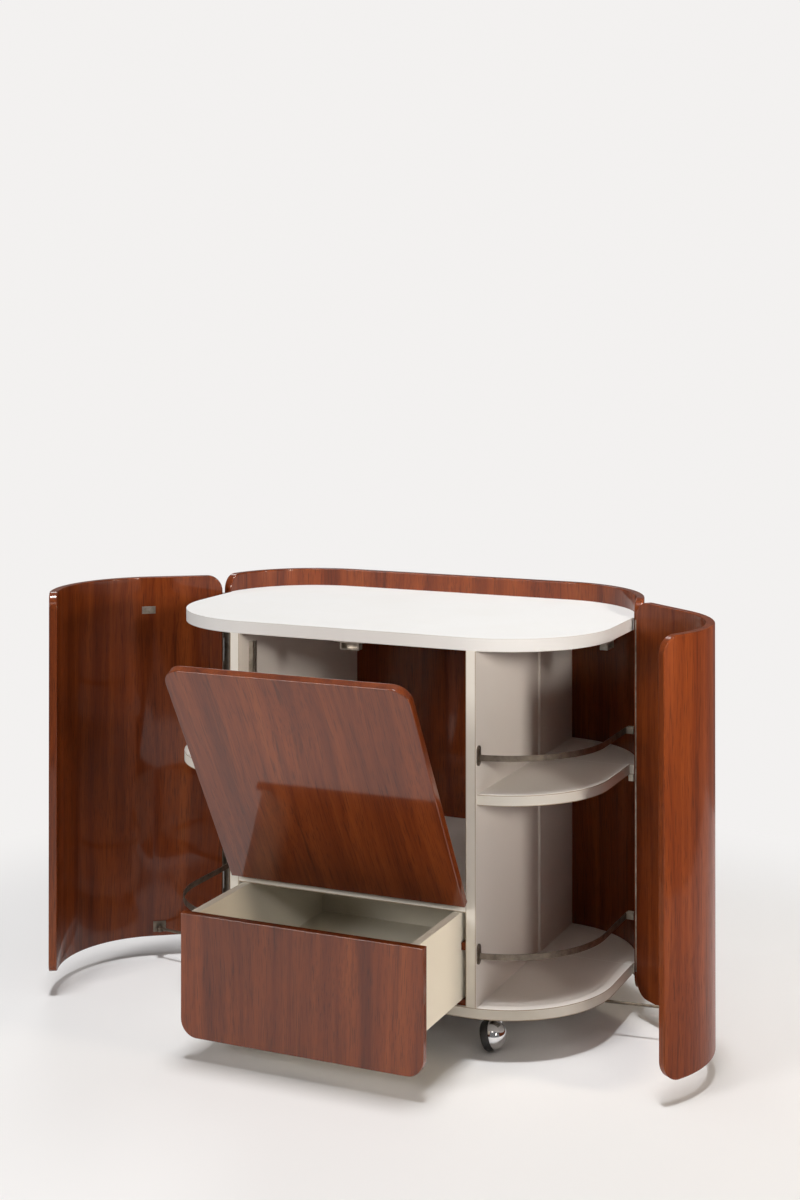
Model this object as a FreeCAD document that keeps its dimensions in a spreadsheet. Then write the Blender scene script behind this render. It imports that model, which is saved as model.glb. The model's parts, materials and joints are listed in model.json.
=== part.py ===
import FreeCAD, Part
import os
import re
import Sketcher

# Mobile bar cart, in millimetres. X runs to the right as seen from the front, Y to the
# back and Z up. The floor is Z = 0 and the cart is symmetric about X = 0. The pieces
# stand as in use: doors part open, flap part open, drawer part pulled out.

doc = FreeCAD.newDocument("bar_cart")
sheet = doc.addObject("Spreadsheet::Sheet", "Dims")
filled_rows = []


def dim(alias, value, note):
    """Write one driving dimension into its own row of the sheet."""
    row = len(filled_rows) + 1
    filled_rows.append(alias)
    sheet.set(f"A{row}", alias)
    sheet.set(f"B{row}", str(value))
    sheet.setAlias(f"B{row}", alias)
    sheet.set(f"C{row}", note)


# Outer drum
dim("half_width", 427, "half of the width across the closed doors")
dim("front_reach", 142, "closed front face, in front of the origin")
dim("back_reach", 378, "outer back face, behind the origin")
dim("drum_radius", 198, "outer radius of the four corners in plan")
dim("skin", 15, "thickness of the bent plywood and of the flat fronts")
dim("rim_rise", 33, "top edge of shell and doors above the top board")
dim("skirt_level", 38, "bottom edge of shell, doors and drawer front")
dim("hinge_set", 13, "door hinge line behind the start of the back bend")
dim("panel_corner", 30, "rounded corners of the panels")
dim("arris_radius", 2, "rounding of the panel edges")

# White boards
dim("board", 18, "thickness of dividers, shelves and floor board")
dim("top_thick", 22, "thickness of the top board")
dim("top_level", 704, "upper face of the top board")
dim("floor_level", 88, "upper face of the floor board")
dim("shelf_level", 442, "upper face of the side shelves")
dim("bar_level", 263, "upper face of the bar shelf")
dim("front_lap", 5, "flap and drawer front over each divider")
dim("front_gap", 3, "between the closed fronts and the board edges")
dim("board_radius", 198, "front corner radius of top and floor board")
dim("shelf_setback", 6, "side shelf edge behind the board edge")
dim("left_shelf_setback", 0.5, "left shelf edge behind the board edge, at the side")
dim("left_shelf_radius", 180, "corner radius of the left shelf")
dim("liner_thick", 4.5, "thickness of the thin panels at the back of the side bays")
dim("liner_lead", 10, "front edge of these panels before the hinge line")
dim("liner_short", 0.5, "back edge of these panels before the divider end")
dim("seat_gap", 0.2, "glue line between board and shell")
dim("seat_back", 3, "where a board starts to seat, behind the hinge line")

# Middle fronts
dim("door_flat", 5.5, "flat strip along the free edge of a door")
dim("door_gap", 2.5, "between a door and the middle fronts")
dim("drawer_top", 244, "upper edge of the drawer front and sides")
dim("drawer_deep", 146, "height of the drawer sides")
dim("drawer_long", 475, "length of the drawer sides")
dim("drawer_side", 14, "thickness of drawer sides and back")
dim("drawer_floor", 6, "thickness of the drawer bottom")
dim("floor_groove", 6, "depth of the groove that holds the drawer bottom")
dim("floor_lift", 8, "drawer bottom above the lower edge of the sides")
dim("floor_fit", 0.2, "play of the drawer bottom in its groove")
dim("drawer_pull", 172, "how far the drawer is pulled out")
dim("side_gap", 8, "between drawer side and divider")
dim("runner_wide", 26, "width of a drawer runner")
dim("runner_play", 0.3, "drawer side above its runner")
dim("runner_inset", 5, "runner and guide ends from the divider ends")
dim("guide_level", 182, "lower edge of the drawer guide strip")
dim("guide_tall", 12, "height of the drawer guide strip")
dim("guide_play", 0.4, "drawer side to guide strip")

# Long hinges
dim("leaf", 1.2, "thickness of a hinge leaf")
dim("leaf_gap", 0.6, "between two closed leaves")
dim("knuckle", 2.3, "outer radius of the door hinge knuckles")
dim("flap_knuckle", 2, "outer radius of the flap hinge knuckles")
dim("pin_radius", 1.2, "radius of the hinge pins")
dim("pin_play", 0.05, "radial play of a pin in its bore")
dim("knuckle_proud", 2.4, "door hinge axis outside the outer face")
dim("knuckle_count", 7, "knuckles on each leaf")
dim("knuckle_slack", 0.5, "play between neighbouring knuckles")
dim("knuckle_clear", 0.5, "leaf cut back from the other knuckle")
dim("leaf_inset", 36, "hinge ends from the panel ends")
dim("leaf_edge", 2, "leaf edge from the inner face of the panel")
dim("flap_axis_lift", 2.2, "flap hinge axis above the bar shelf")
dim("flap_foot", 1.8, "lower edge of the flap above its hinge axis")
dim("flap_leaf_inset", 12, "flap hinge ends from the flap sides")
dim("shelf_leaf_wide", 16, "width of the flap hinge leaf on the bar shelf")
dim("flap_drop", 4, "upper edge of the closed flap below the rim")

# Rest pose
dim("left_open", 55.5, "opening of the left door, degrees")
dim("right_open", 52.7, "opening of the right door, degrees")
dim("flap_open", 30.6, "opening of the flap, degrees")

# Rails
dim("rail_tall", 10, "height of a rail strip")
dim("rail_thick", 2, "thickness of a rail strip")
dim("rail_inset", 12, "rail inside the board edge")
dim("left_rail_inset", 3, "left rails inside the board edge, at the side")
dim("left_rail_radius", 160, "bend of the left rails")
dim("upper_rail_lift", 60, "upper rail above the side shelf")
dim("lower_rail_lift", 83, "lower rail above the floor board")
dim("flange_wide", 16, "width of the oval rail flange")
dim("flange_end", 4.7, "oval rail flange beyond each screw")
dim("flange_thick", 2, "thickness of the rail flange")
dim("flange_lift", 4, "middle of the flange above the middle of the rail")
dim("screw_pitch", 24.6, "between the two screws of a flange")
dim("screw_radius", 2, "radius of the small screws")
dim("screw_head", 3, "radius of the small screw heads")
dim("head_thick", 1.4, "height of the small screw heads")
dim("head_round", 2, "rounding of the small screw heads")
dim("screw_play", 0.05, "radial play of a screw in its flange")
dim("clip_long", 12, "length of rail and shelf clips")
dim("clip_tall", 12, "height of rail and shelf clips")
dim("clip_wall", 2, "thickness of the clips")
dim("clip_lap", 0.5, "clip behind the rail end")

# Catches
dim("catch_wide", 36, "width of a catch box")
dim("catch_deep", 14, "depth of a catch box")
dim("catch_tall", 14, "height of a catch box")
dim("catch_ear", 9, "length of each catch ear")
dim("catch_wall", 1.5, "thickness of catch plates and strikes")
dim("catch_inset", 1, "catch behind the board edge")
dim("jaw_wide", 30, "opening between the catch jaws")
dim("strike_wide", 26, "width of a strike plate")
dim("strike_tall", 14, "height of a strike plate")
dim("right_catch_set", 13, "right catch behind the start of the front bend of the door")
dim("left_catch_turn", 7.8, "left door catch round the front corner, degrees")
dim("left_strike_turn", 2.7, "left strike round the bend of the door, degrees")
dim("left_strike_gap", 0.8, "left strike from the bent face, at its middle")

# Flap stay
dim("stay_arm_length", 180, "arm length, and its pivot from the flap axis")
dim("stay_lean", 1.5, "lean of the stay track to the back, degrees")
dim("arm_half", 4.5, "half width of the stay arm")
dim("arm_thick", 3, "thickness of arm and shoe plate")
dim("arm_pin", 2.4, "radius of the arm pivots")
dim("stay_slip", 0.3, "play between the layers of the stay")
dim("track_back", 36, "track behind the line of the arm pivot")
dim("track_wide", 16, "width of the stay track")
dim("track_deep", 8, "depth of the stay track")
dim("track_wall", 1.5, "wall of the stay track")
dim("track_slot", 6, "slot of the stay track")
dim("track_low", 12, "lower end of the track above the flap axis")
dim("track_high", 398, "upper end of the track above the flap axis")
dim("shoe_tall", 24, "height of the sliding shoe")
dim("shoe_play", 0.3, "play of the shoe in the track")
dim("bracket_wide", 18, "width of the arm bracket on the flap")
dim("bracket_tall", 30, "height of the arm bracket")

# Door stays
dim("rod_radius", 2.5, "radius of the door stay rods")
dim("rod_drop", 13, "rod below the floor board")
dim("rod_set", 13, "rod pivot behind the start of the front bend of the door")
dim("rod_stand", 14, "rod pivot from the inner face of the door")
dim("rod_lead", 11, "angle from guide to rod pivot, door closed, degrees")
dim("door_swing", 95, "full opening of a door, degrees")
dim("rod_play", 0.08, "radial play of the rod in its guide")
dim("rod_eye", 6, "radius of the rod eye")
dim("rod_pin", 2.5, "radius of the rod pivot pin")
dim("rod_pin_over", 2, "rod pivot pin above the rod eye")
dim("guide_radius", 7, "radius of the swivel guide")
dim("guide_half", 7, "half height of the swivel guide")
dim("post_radius", 3, "radius of the swivel guide post")
dim("post_plate", 2.5, "thickness of the guide post plate")
dim("post_flange", 13, "radius of the guide post plate")
dim("post_end", 1, "end of the guide post above the rod")
dim("seat_end", 0.8, "floor of the guide seat above the rod")
dim("collar_radius", 5, "radius of the stop collar on the rod")
dim("collar_long", 6, "length of the stop collar")
dim("collar_clear", 1, "collar from the guide with the door fully open")
dim("foot_wide", 24, "width of the rod bracket on the door")
dim("foot_tall", 20, "height of the rod bracket on the door")
dim("foot_thick", 2.5, "thickness of the rod bracket")

# Casters
dim("caster_side_inset", 176, "caster swivels from the sides")
dim("caster_front_inset", 88, "front swivels from the closed front")
dim("caster_back_inset", 87, "back swivels from the back")
dim("plate_half", 21, "half side of a caster plate")
dim("plate_thick", 2.5, "thickness of a caster plate")
dim("socket_radius", 9, "radius of the swivel socket")
dim("socket_deep", 11, "depth of the swivel socket")
dim("stem_radius", 5, "radius of the swivel stem")
dim("stem_play", 0.1, "radial play of the swivel stem")
dim("stem_short", 1, "end of the swivel stem below the plate")
dim("bore_extra", 0.5, "socket bore into the plate")
dim("wheel_radius", 25, "radius of a wheel")
dim("wheel_wide", 15, "width of a wheel")
dim("tyre_crown", 5, "rounding of the tyre")
dim("hub_dish", 4, "depth of the dish in the wheel")
dim("hub_radius", 15, "radius of the dish in the wheel")
dim("axle_radius", 4, "radius of the wheel axle")
dim("axle_play", 0.05, "radial play of the wheel on its axle")
dim("hood_radius", 24, "radius of the domed hood")
dim("hood_gap", 0.8, "between wheel and hood")
dim("trail", 15, "wheel behind its swivel")
dim("stem_side", 9, "swivel beside the wheel face")
dim("cant", 15, "lean of the wheel, degrees")
dim("front_left_turn", -18, "swivel of the front left caster, degrees")
dim("front_right_turn", 4, "swivel of the front right caster, degrees")
dim("back_left_turn", 22, "swivel of the back left caster, degrees")
dim("back_right_turn", -10, "swivel of the back right caster, degrees")

doc.recompute()

WORDS_KEPT = ("sin", "cos", "atan", "sqrt", "deg")

# Places that follow from the driving dimensions
FOLLOWING = {
    "rim_level": "(top_level + rim_rise)",
    "flange_tall": "(screw_pitch + 2 * flange_end)",
    "hinge_reach": "(back_reach - drum_radius + hinge_set)",
    "front_half": "(half_width - drum_radius - door_flat - door_gap)",
    "divider_half": "(half_width - drum_radius - door_flat - door_gap - front_lap)",
    "caster_half": "(half_width - caster_side_inset)",
    "front_caster": "(caster_front_inset - front_reach)",
    "back_caster": "(back_reach - caster_back_inset)",
    "right_catch_reach": "(back_reach + hinge_set + front_reach - 2 * drum_radius - right_catch_set)",
}


def formula(text):
    """Turn plain dimension names into references to the sheet."""
    def reference(match):
        word = match.group(0)
        if word in FOLLOWING:
            return formula(FOLLOWING[word])
        return word if word in WORDS_KEPT else "Dims." + word
    return re.sub(r"[A-Za-z_]+", reference, text)


def size(text):
    """Value of a formula of driving dimensions, as a number."""
    answer = sheet.evalExpression(formula(text))
    return float(getattr(answer, "Value", answer))


pieces = []


def keep(piece, label):
    """Name a finished piece and list it for writing."""
    piece.Label = label
    pieces.append(piece)
    return piece


def place(piece, x="0", y="0", z="0", axis=None, angle="0"):
    """Bind a piece's place, and its turn about one axis, to the sheet."""
    turn = FreeCAD.Rotation()
    if axis:
        turn = FreeCAD.Rotation(FreeCAD.Vector(*axis), size(angle))
    piece.Placement = FreeCAD.Placement(FreeCAD.Vector(size(x), size(y), size(z)), turn)
    for letter, text in (("x", x), ("y", y), ("z", z)):
        piece.setExpression("Placement.Base." + letter, formula(text))
    if axis and abs(size(angle)) > 0.001:
        sense = piece.Placement.Rotation.Axis.dot(FreeCAD.Vector(*axis))
        text = angle if sense > 0 else f"-({angle})"
        piece.setExpression("Placement.Rotation.Angle", f"({formula(text)}) * 1 deg")
    return piece


def new_body(name):
    return doc.addObject("PartDesign::Body", name)


def new_sketch(body, name, plane):
    """Empty sketch on one of the body's own origin planes."""
    sketch = body.newObject("Sketcher::SketchObject", name)
    support = [item for item in body.Origin.OriginFeatures if item.Role == plane + "_Plane"][0]
    sketch.AttachmentSupport = (support, [""])
    sketch.MapMode = "FlatFace"
    return sketch


def pin_point(sketch, edge, end, x, y):
    """Hold one sketch point at a place that is written in driving dimensions."""
    for kind, axis, text in (("DistanceX", -2, x), ("DistanceY", -1, y)):
        if text == "0":
            sketch.addConstraint(Sketcher.Constraint("PointOnObject", edge, end, axis))
            continue
        row = sketch.addConstraint(Sketcher.Constraint(kind, -1, 1, edge, end, size(text)))
        sketch.setExpression(f"Constraints[{row}]", formula(text))


def arc_between(start, stop, radius, turn):
    """Arc under half a circle; turn is 1 for left-hand bends and -1 for right-hand ones."""
    chord = stop - start
    height = max(radius * radius - chord.Length * chord.Length / 4, 0) ** 0.5
    across = FreeCAD.Vector(-chord.y, chord.x, 0).normalize()
    centre = (start + stop) * 0.5 + across * (height * turn)
    middle = centre - across * (radius * turn)
    return Part.Arc(start, middle, stop)


def outline(sketch, corners):
    """Closed outline. A corner is (x, y), or (x, y, radius, turn) where an arc leaves it."""
    first = sketch.GeometryCount
    spots = [FreeCAD.Vector(size(corner[0]), size(corner[1]), 0) for corner in corners]
    ends = []
    for number, corner in enumerate(corners):
        start = spots[number]
        stop = spots[(number + 1) % len(spots)]
        if len(corner) == 2:
            sketch.addGeometry(Part.LineSegment(start, stop), False)
            ends.append((1, 2))
        else:
            bend = arc_between(start, stop, size(corner[2]), corner[3])
            sketch.addGeometry(bend, False)
            ends.append((1, 2) if corner[3] > 0 else (2, 1))
    for number, corner in enumerate(corners):
        after = (number + 1) % len(corners)
        edge = first + number
        joint = Sketcher.Constraint("Coincident", edge, ends[number][1], first + after, ends[after][0])
        sketch.addConstraint(joint)
        pin_point(sketch, edge, ends[number][0], corner[0], corner[1])
        if len(corner) == 4:
            row = sketch.addConstraint(Sketcher.Constraint("Radius", edge, size(corner[2])))
            sketch.setExpression(f"Constraints[{row}]", formula(corner[2]))


def circle(sketch, x, y, radius):
    """Circle held by its centre and radius."""
    edge = sketch.GeometryCount
    centre = FreeCAD.Vector(size(x), size(y), 0)
    sketch.addGeometry(Part.Circle(centre, FreeCAD.Vector(0, 0, 1), size(radius)), False)
    pin_point(sketch, edge, 3, x, y)
    row = sketch.addConstraint(Sketcher.Constraint("Radius", edge, size(radius)))
    sketch.setExpression(f"Constraints[{row}]", formula(radius))


def rectangle(x_low, y_low, x_high, y_high):
    return [(x_low, y_low), (x_high, y_low), (x_high, y_high), (x_low, y_high)]


def pad(body, name, plane, corners, length, reverse=False, lift=None):
    """Pad an outline (a list of corners) or a circle (x, y, radius)."""
    sketch = new_sketch(body, name + "_sketch", plane)
    if isinstance(corners, tuple):
        circle(sketch, *corners)
    else:
        outline(sketch, corners)
    if lift:
        sketch.AttachmentOffset = FreeCAD.Placement(FreeCAD.Vector(0, 0, size(lift)), FreeCAD.Rotation())
        sketch.setExpression("AttachmentOffset.Base.z", formula(lift))
    feature = body.newObject("PartDesign::Pad", name)
    feature.Profile = sketch
    feature.setExpression("Length", formula(length))
    feature.Reversed = reverse
    return feature


def pocket(body, name, plane, shapes, length=None, reverse=False, lift=None):
    """Cut outlines or circles through all, or to a length, and check that they cut."""
    doc.recompute()
    before = body.Shape.Volume
    sketch = new_sketch(body, name + "_sketch", plane)
    for shape in shapes:
        if isinstance(shape, tuple):
            circle(sketch, *shape)
        else:
            outline(sketch, shape)
    if lift:
        sketch.AttachmentOffset = FreeCAD.Placement(FreeCAD.Vector(0, 0, size(lift)), FreeCAD.Rotation())
        sketch.setExpression("AttachmentOffset.Base.z", formula(lift))
    feature = body.newObject("PartDesign::Pocket", name)
    feature.Profile = sketch
    if length:
        feature.setExpression("Length", formula(length))
        feature.Reversed = reverse
    else:
        feature.Type = "ThroughAll"
        feature.SideType = "Symmetric"
    doc.recompute()
    if body.Shape.Volume >= before:
        raise ValueError(name + " cuts nothing")
    return feature


def is_straight(edge):
    return isinstance(edge.Curve, (Part.Line, Part.LineSegment))


def same_edge(edge, others):
    return any(edge.isSame(other) for other in others)


def ease_edges(body, name):
    """Round both rims of a panel: each edge of its narrow faces that does not run across it."""
    doc.recompute()
    shape = body.Shape
    thickness = size("skin")
    narrow = []
    for face in shape.Faces:
        across = [edge for edge in face.Edges if is_across(edge, thickness)]
        if len(across) >= 2:
            narrow.append(face)
    rims = []
    for face in narrow:
        for edge in face.Edges:
            shared = [other for other in narrow if same_edge(edge, other.Edges)]
            if len(shared) == 1:
                rims.append(edge)
    names = [f"Edge{number + 1}" for number, edge in enumerate(shape.Edges) if same_edge(edge, rims)]
    base = body.Tip
    feature = body.newObject("PartDesign::Fillet", name)
    feature.Base = (base, names)
    feature.setExpression("Radius", formula("arris_radius"))
    return feature


ACROSS_SHARE = 0.06


def is_across(edge, thickness):
    return is_straight(edge) and abs(edge.Length / thickness - 1) < ACROSS_SHARE


def block(name, x, y, z, wide, deep, tall):
    """Plain rectangular piece with its lowest corner at x, y, z."""
    piece = doc.addObject("Part::Box", name)
    piece.setExpression("Length", formula(wide))
    piece.setExpression("Width", formula(deep))
    piece.setExpression("Height", formula(tall))
    return place(piece, x, y, z)


def cylinder(name, radius, tall, x, y, z, axis=None, angle="0"):
    piece = doc.addObject("Part::Cylinder", name)
    piece.setExpression("Radius", formula(radius))
    piece.setExpression("Height", formula(tall))
    return place(piece, x, y, z, axis, angle)


def fuse(name, shapes):
    piece = doc.addObject("Part::MultiFuse", name)
    piece.Shapes = shapes
    piece.Refine = True
    return piece


def cut(name, base, tool):
    piece = doc.addObject("Part::Cut", name)
    piece.Base = base
    piece.Tool = tool
    return piece


def group(name, items):
    """Several separate solids of one kind in one node."""
    piece = doc.addObject("Part::Compound", name)
    piece.Links = items
    return piece


# Formulas that several pieces share
FRONT = "(-front_reach)"
FRONT_INNER = "(skin - front_reach)"
BOARD_FRONT = "(skin + front_gap - front_reach)"
BOARD_SIDE = "(half_width - skin - front_gap)"
SHELL_BACK = "(back_reach - skin)"
ARC_X = "(half_width - drum_radius)"
ARC_BACK_Y = "(back_reach - drum_radius)"
ARC_FRONT_Y = "(drum_radius - front_reach)"
INNER_RADIUS = "(drum_radius - skin)"
SEAT_RADIUS = "(drum_radius - skin - seat_gap)"
SEAT_Y = "(hinge_reach + seat_back)"
SEAT_RISE = f"({SEAT_Y} - {ARC_BACK_Y})"
SEAT_X = f"({ARC_X} + sqrt({SEAT_RADIUS} * {SEAT_RADIUS} - {SEAT_RISE} * {SEAT_RISE}))"
SEAT_BACK = "(back_reach - skin - seat_gap)"
HINGE_X = "(half_width + knuckle_proud)"
LEAF_SPACE = "(leaf + leaf_gap / 2)"
TOP_UNDER = "(top_level - top_thick)"
FLOOR_UNDER = "(floor_level - board)"
DIVIDER_OUT = "(divider_half + board)"
PANEL_TALL = "(rim_level - skirt_level)"
FLAP_Y = "(skin + front_gap / 2 - front_reach)"
FLAP_Z = "(bar_level + flap_axis_lift)"


def board_outline(inset):
    """Plan of a full board: round front corners, and a back that seats in the shell."""
    front = f"({BOARD_FRONT} + {inset})"
    side = f"({BOARD_SIDE} - {inset})"
    radius = f"(board_radius - {inset})"
    return [
        (f"-({side} - {radius})", front),
        (f"{side} - {radius}", front, radius, 1),
        (side, f"{front} + {radius}"),
        (side, SEAT_Y),
        (SEAT_X, SEAT_Y, SEAT_RADIUS, 1),
        (ARC_X, SEAT_BACK),
        (f"-{ARC_X}", SEAT_BACK, SEAT_RADIUS, 1),
        (f"-{SEAT_X}", SEAT_Y),
        (f"-{side}", SEAT_Y),
        (f"-{side}", f"{front} + {radius}", radius, 1),
    ]


def mirrored(corners):
    """The same outline on the left-hand side."""
    turned = []
    count = len(corners)
    for number in range(count):
        corner = corners[count - 1 - number]
        before = corners[count - 2 - number]
        place_x = corner[0] if corner[0] == "0" else f"-({corner[0]})"
        if len(before) == 4:
            turned.append((place_x, corner[1], before[2], before[3]))
        else:
            turned.append((place_x, corner[1]))
    return turned


def sided(corners, side):
    return corners if side > 0 else mirrored(corners)


def make_boards():
    """Top and floor board, dividers, bar shelf and side shelves."""
    top = new_body("top_board_body")
    pad(top, "top_board_pad", "XY", board_outline("0"), "top_thick")
    keep(place(top, z=TOP_UNDER), "top_board")

    floor = new_body("floor_board_body")
    pad(floor, "floor_board_pad", "XY", board_outline("0"), "board")
    keep(place(floor, z=FLOOR_UNDER), "floor_board")

    deep = f"{SEAT_BACK} - {BOARD_FRONT}"
    tall = f"{TOP_UNDER} - floor_level"
    left = block("left_divider_block", f"-{DIVIDER_OUT}", BOARD_FRONT, "floor_level", "board", deep, tall)
    keep(left, "left_divider")
    right = block("right_divider_block", "divider_half", BOARD_FRONT, "floor_level", "board", deep, tall)
    keep(right, "right_divider")
    low = "bar_level - board"
    bar = block("bar_shelf_block", "-divider_half", BOARD_FRONT, low, "2 * divider_half", deep, "board")
    keep(bar, "bar_shelf")

    for side, name in ((-1, "left"), (1, "right")):
        shelf = new_body(name + "_shelf_body")
        pad(shelf, name + "_shelf_pad", "XY", sided(shelf_plan(side), side), "board")
        keep(place(shelf, z="shelf_level - board"), name + "_shelf")
    make_liners()


def make_liners():
    """Thin panels on the outer faces of the dividers, above and below each side shelf."""
    panels = []
    front = "hinge_reach - liner_lead"
    deep = f"{SEAT_BACK} - liner_short - ({front})"
    heights = (
        ("lower", "floor_level", "shelf_level - board - floor_level"),
        ("upper", "shelf_level", f"{TOP_UNDER} - shelf_level"),
    )
    for name, low, tall in heights:
        left_x = f"-{DIVIDER_OUT} - liner_thick"
        panels.append(block(f"left_{name}_liner", left_x, front, low, "liner_thick", deep, tall))
        panels.append(block(f"right_{name}_liner", DIVIDER_OUT, front, low, "liner_thick", deep, tall))
    keep(group("divider_liners_group", panels), "divider_liners")


def shelf_plan(side):
    """Plan of a side shelf, drawn on the right; the left one reaches further out."""
    setback = "shelf_setback" if side > 0 else "left_shelf_setback"
    radius = "(board_radius - shelf_setback)" if side > 0 else "left_shelf_radius"
    edge = f"({BOARD_SIDE} - {setback})"
    turn_y = f"({BOARD_FRONT} + shelf_setback + {radius})"
    back_step = f"({DIVIDER_OUT} - {ARC_X})"
    front_step = f"({DIVIDER_OUT} - {edge} + {radius})"
    return [
        (DIVIDER_OUT, f"{turn_y} - sqrt({radius} * {radius} - {front_step} * {front_step})", radius, 1),
        (edge, turn_y),
        (edge, SEAT_Y),
        (SEAT_X, SEAT_Y, SEAT_RADIUS, 1),
        (DIVIDER_OUT, f"{ARC_BACK_Y} + sqrt({SEAT_RADIUS} * {SEAT_RADIUS} - {back_step} * {back_step})"),
    ]


def corner_cut(u, v, toward_u, toward_v):
    """Waste outside one rounded panel corner; u, v is the sharp corner."""
    out_u = f"({u}) - {toward_u}"
    out_v = f"({v}) - {toward_v}"
    in_u = f"({u}) + {toward_u} * panel_corner"
    in_v = f"({v}) + {toward_v} * panel_corner"
    turn = toward_u * toward_v
    return [
        (out_u, out_v),
        (in_u, out_v),
        (in_u, v, "panel_corner", -turn),
        (u, in_v),
        (out_u, in_v),
    ]


def make_shell():
    """Bent back shell, with rounded ends and eased edges."""
    end = f"(hinge_reach + {LEAF_SPACE})"
    rise = f"({end} - {ARC_BACK_Y})"
    end_out = f"({ARC_X} + sqrt(drum_radius * drum_radius - {rise} * {rise}))"
    end_in = f"({ARC_X} + sqrt({INNER_RADIUS} * {INNER_RADIUS} - {rise} * {rise}))"
    plan = [
        (end_out, end, "drum_radius", 1),
        (ARC_X, "back_reach"),
        (f"-{ARC_X}", "back_reach", "drum_radius", 1),
        (f"-{end_out}", end),
        (f"-{end_in}", end, INNER_RADIUS, -1),
        (f"-{ARC_X}", SHELL_BACK),
        (ARC_X, SHELL_BACK, INNER_RADIUS, -1),
        (end_in, end),
    ]
    shell = new_body("back_shell_body")
    pad(shell, "back_shell_pad", "XY", plan, PANEL_TALL)
    corners = [corner_cut(end, "0", 1, 1), corner_cut(end, PANEL_TALL, 1, -1)]
    pocket(shell, "back_shell_ends", "YZ", corners)
    ease_edges(shell, "back_shell_arris")
    keep(place(shell, z="skirt_level"), "back_shell")


def door_plan():
    """Right door, closed, measured from its hinge axis."""
    out_x = "(-knuckle_proud)"
    in_x = "(-knuckle_proud - skin)"
    end = f"(-{LEAF_SPACE})"
    start_back = f"({ARC_BACK_Y} - hinge_reach)"
    start_front = f"({ARC_FRONT_Y} - hinge_reach)"
    front = f"({FRONT} - hinge_reach)"
    front_in = f"({FRONT_INNER} - hinge_reach)"
    arc_x = f"({ARC_X} - {HINGE_X})"
    free = f"(front_half + door_gap - {HINGE_X})"
    rise = f"(hinge_reach - {LEAF_SPACE} - {ARC_BACK_Y})"
    end_out = f"({arc_x} + sqrt(drum_radius * drum_radius - {rise} * {rise}))"
    end_in = f"({arc_x} + sqrt({INNER_RADIUS} * {INNER_RADIUS} - {rise} * {rise}))"
    return [
        (free, front),
        (arc_x, front, "drum_radius", 1),
        (out_x, start_front),
        (out_x, start_back, "drum_radius", 1),
        (end_out, end),
        (end_in, end, INNER_RADIUS, -1),
        (in_x, start_back),
        (in_x, start_front, INNER_RADIUS, -1),
        (arc_x, front_in),
        (free, front_in),
    ]


def make_doors():
    """Two bent doors, turned about their hinge axes to the rest pose."""
    end = f"(-{LEAF_SPACE})"
    free = f"(front_half + door_gap - {HINGE_X})"
    for side, name in ((-1, "left"), (1, "right")):
        door = new_body(name + "_door_body")
        pad(door, name + "_door_pad", "XY", sided(door_plan(), side), PANEL_TALL)
        hinge_corners = [corner_cut(end, "0", -1, 1), corner_cut(end, PANEL_TALL, -1, -1)]
        pocket(door, name + "_door_hinge_end", "YZ", hinge_corners)
        edge = free if side > 0 else f"-{free}"
        free_corners = [corner_cut(edge, "0", side, 1), corner_cut(edge, PANEL_TALL, side, -1)]
        pocket(door, name + "_door_free_end", "XZ", free_corners)
        ease_edges(door, name + "_door_arris")
        place_on_door(door, side, "skirt_level")
        keep(door, name + "_door")


def place_on_door(piece, side, level):
    """Put a piece that is drawn from the hinge axis onto its open door."""
    if side > 0:
        return place(piece, HINGE_X, "hinge_reach", level, (0, 0, 1), "right_open")
    return place(piece, f"-{HINGE_X}", "hinge_reach", level, (0, 0, 1), "-left_open")


def hinge_leaf(name, plate, barrel, length, odd):
    """Leaf drawn around its axis at 0, 0; knuckles alternate with those of the other leaf."""
    body = new_body(name + "_body")
    pad(body, name + "_plate", "XY", plate, length)
    pad(body, name + "_barrel", "XY", ("0", "0", barrel), length)
    pocket(body, name + "_bore", "XY", [("0", "0", "pin_radius + pin_play")])
    reach = f"({barrel} + knuckle_clear)"
    pitch = f"(({length}) / (2 * knuckle_count))"
    window = rectangle(f"-{reach}", f"-{reach}", reach, reach)
    lift = f"{pitch} - knuckle_slack / 2" if odd else "-knuckle_slack / 2"
    notch_long = f"{pitch} + knuckle_slack"
    notch = pocket(body, name + "_notch", "XY", [window], notch_long, True, lift)
    row = body.newObject("PartDesign::LinearPattern", name + "_notches")
    row.Originals = [notch]
    row.Direction = (notch.Profile[0], ["N_Axis"])
    row.Mode = "Spacing"
    row.setExpression("Offset", formula(f"2 * {pitch}"))
    row.setExpression("Occurrences", formula("knuckle_count"))
    body.Tip = row
    return body


def make_door_hinges():
    """Long hinges between shell and doors: one leaf on each, on a common pin."""
    length = f"({PANEL_TALL} - 2 * leaf_inset)"
    inner = "(-knuckle_proud - skin + leaf_edge)"
    pins = []
    for side, name in ((-1, "left"), (1, "right")):
        shell_plate = rectangle(inner, "leaf_gap / 2", "0", LEAF_SPACE)
        door_plate = rectangle(inner, f"-{LEAF_SPACE}", "0", "-leaf_gap / 2")
        fixed = hinge_leaf(name + "_shell_leaf", sided(shell_plate, side), "knuckle", length, True)
        x = HINGE_X if side > 0 else f"-{HINGE_X}"
        place(fixed, x, "hinge_reach", "skirt_level + leaf_inset")
        keep(fixed, name + "_shell_hinge_leaf")
        moving = hinge_leaf(name + "_door_leaf", sided(door_plate, side), "knuckle", length, False)
        keep(place_on_door(moving, side, "skirt_level + leaf_inset"), name + "_door_hinge_leaf")
        low = "skirt_level + leaf_inset"
        pins.append(cylinder(name + "_pin", "pin_radius", length, x, "hinge_reach", low))
    keep(group("door_hinge_pins_group", pins), "door_hinge_pins")


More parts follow.
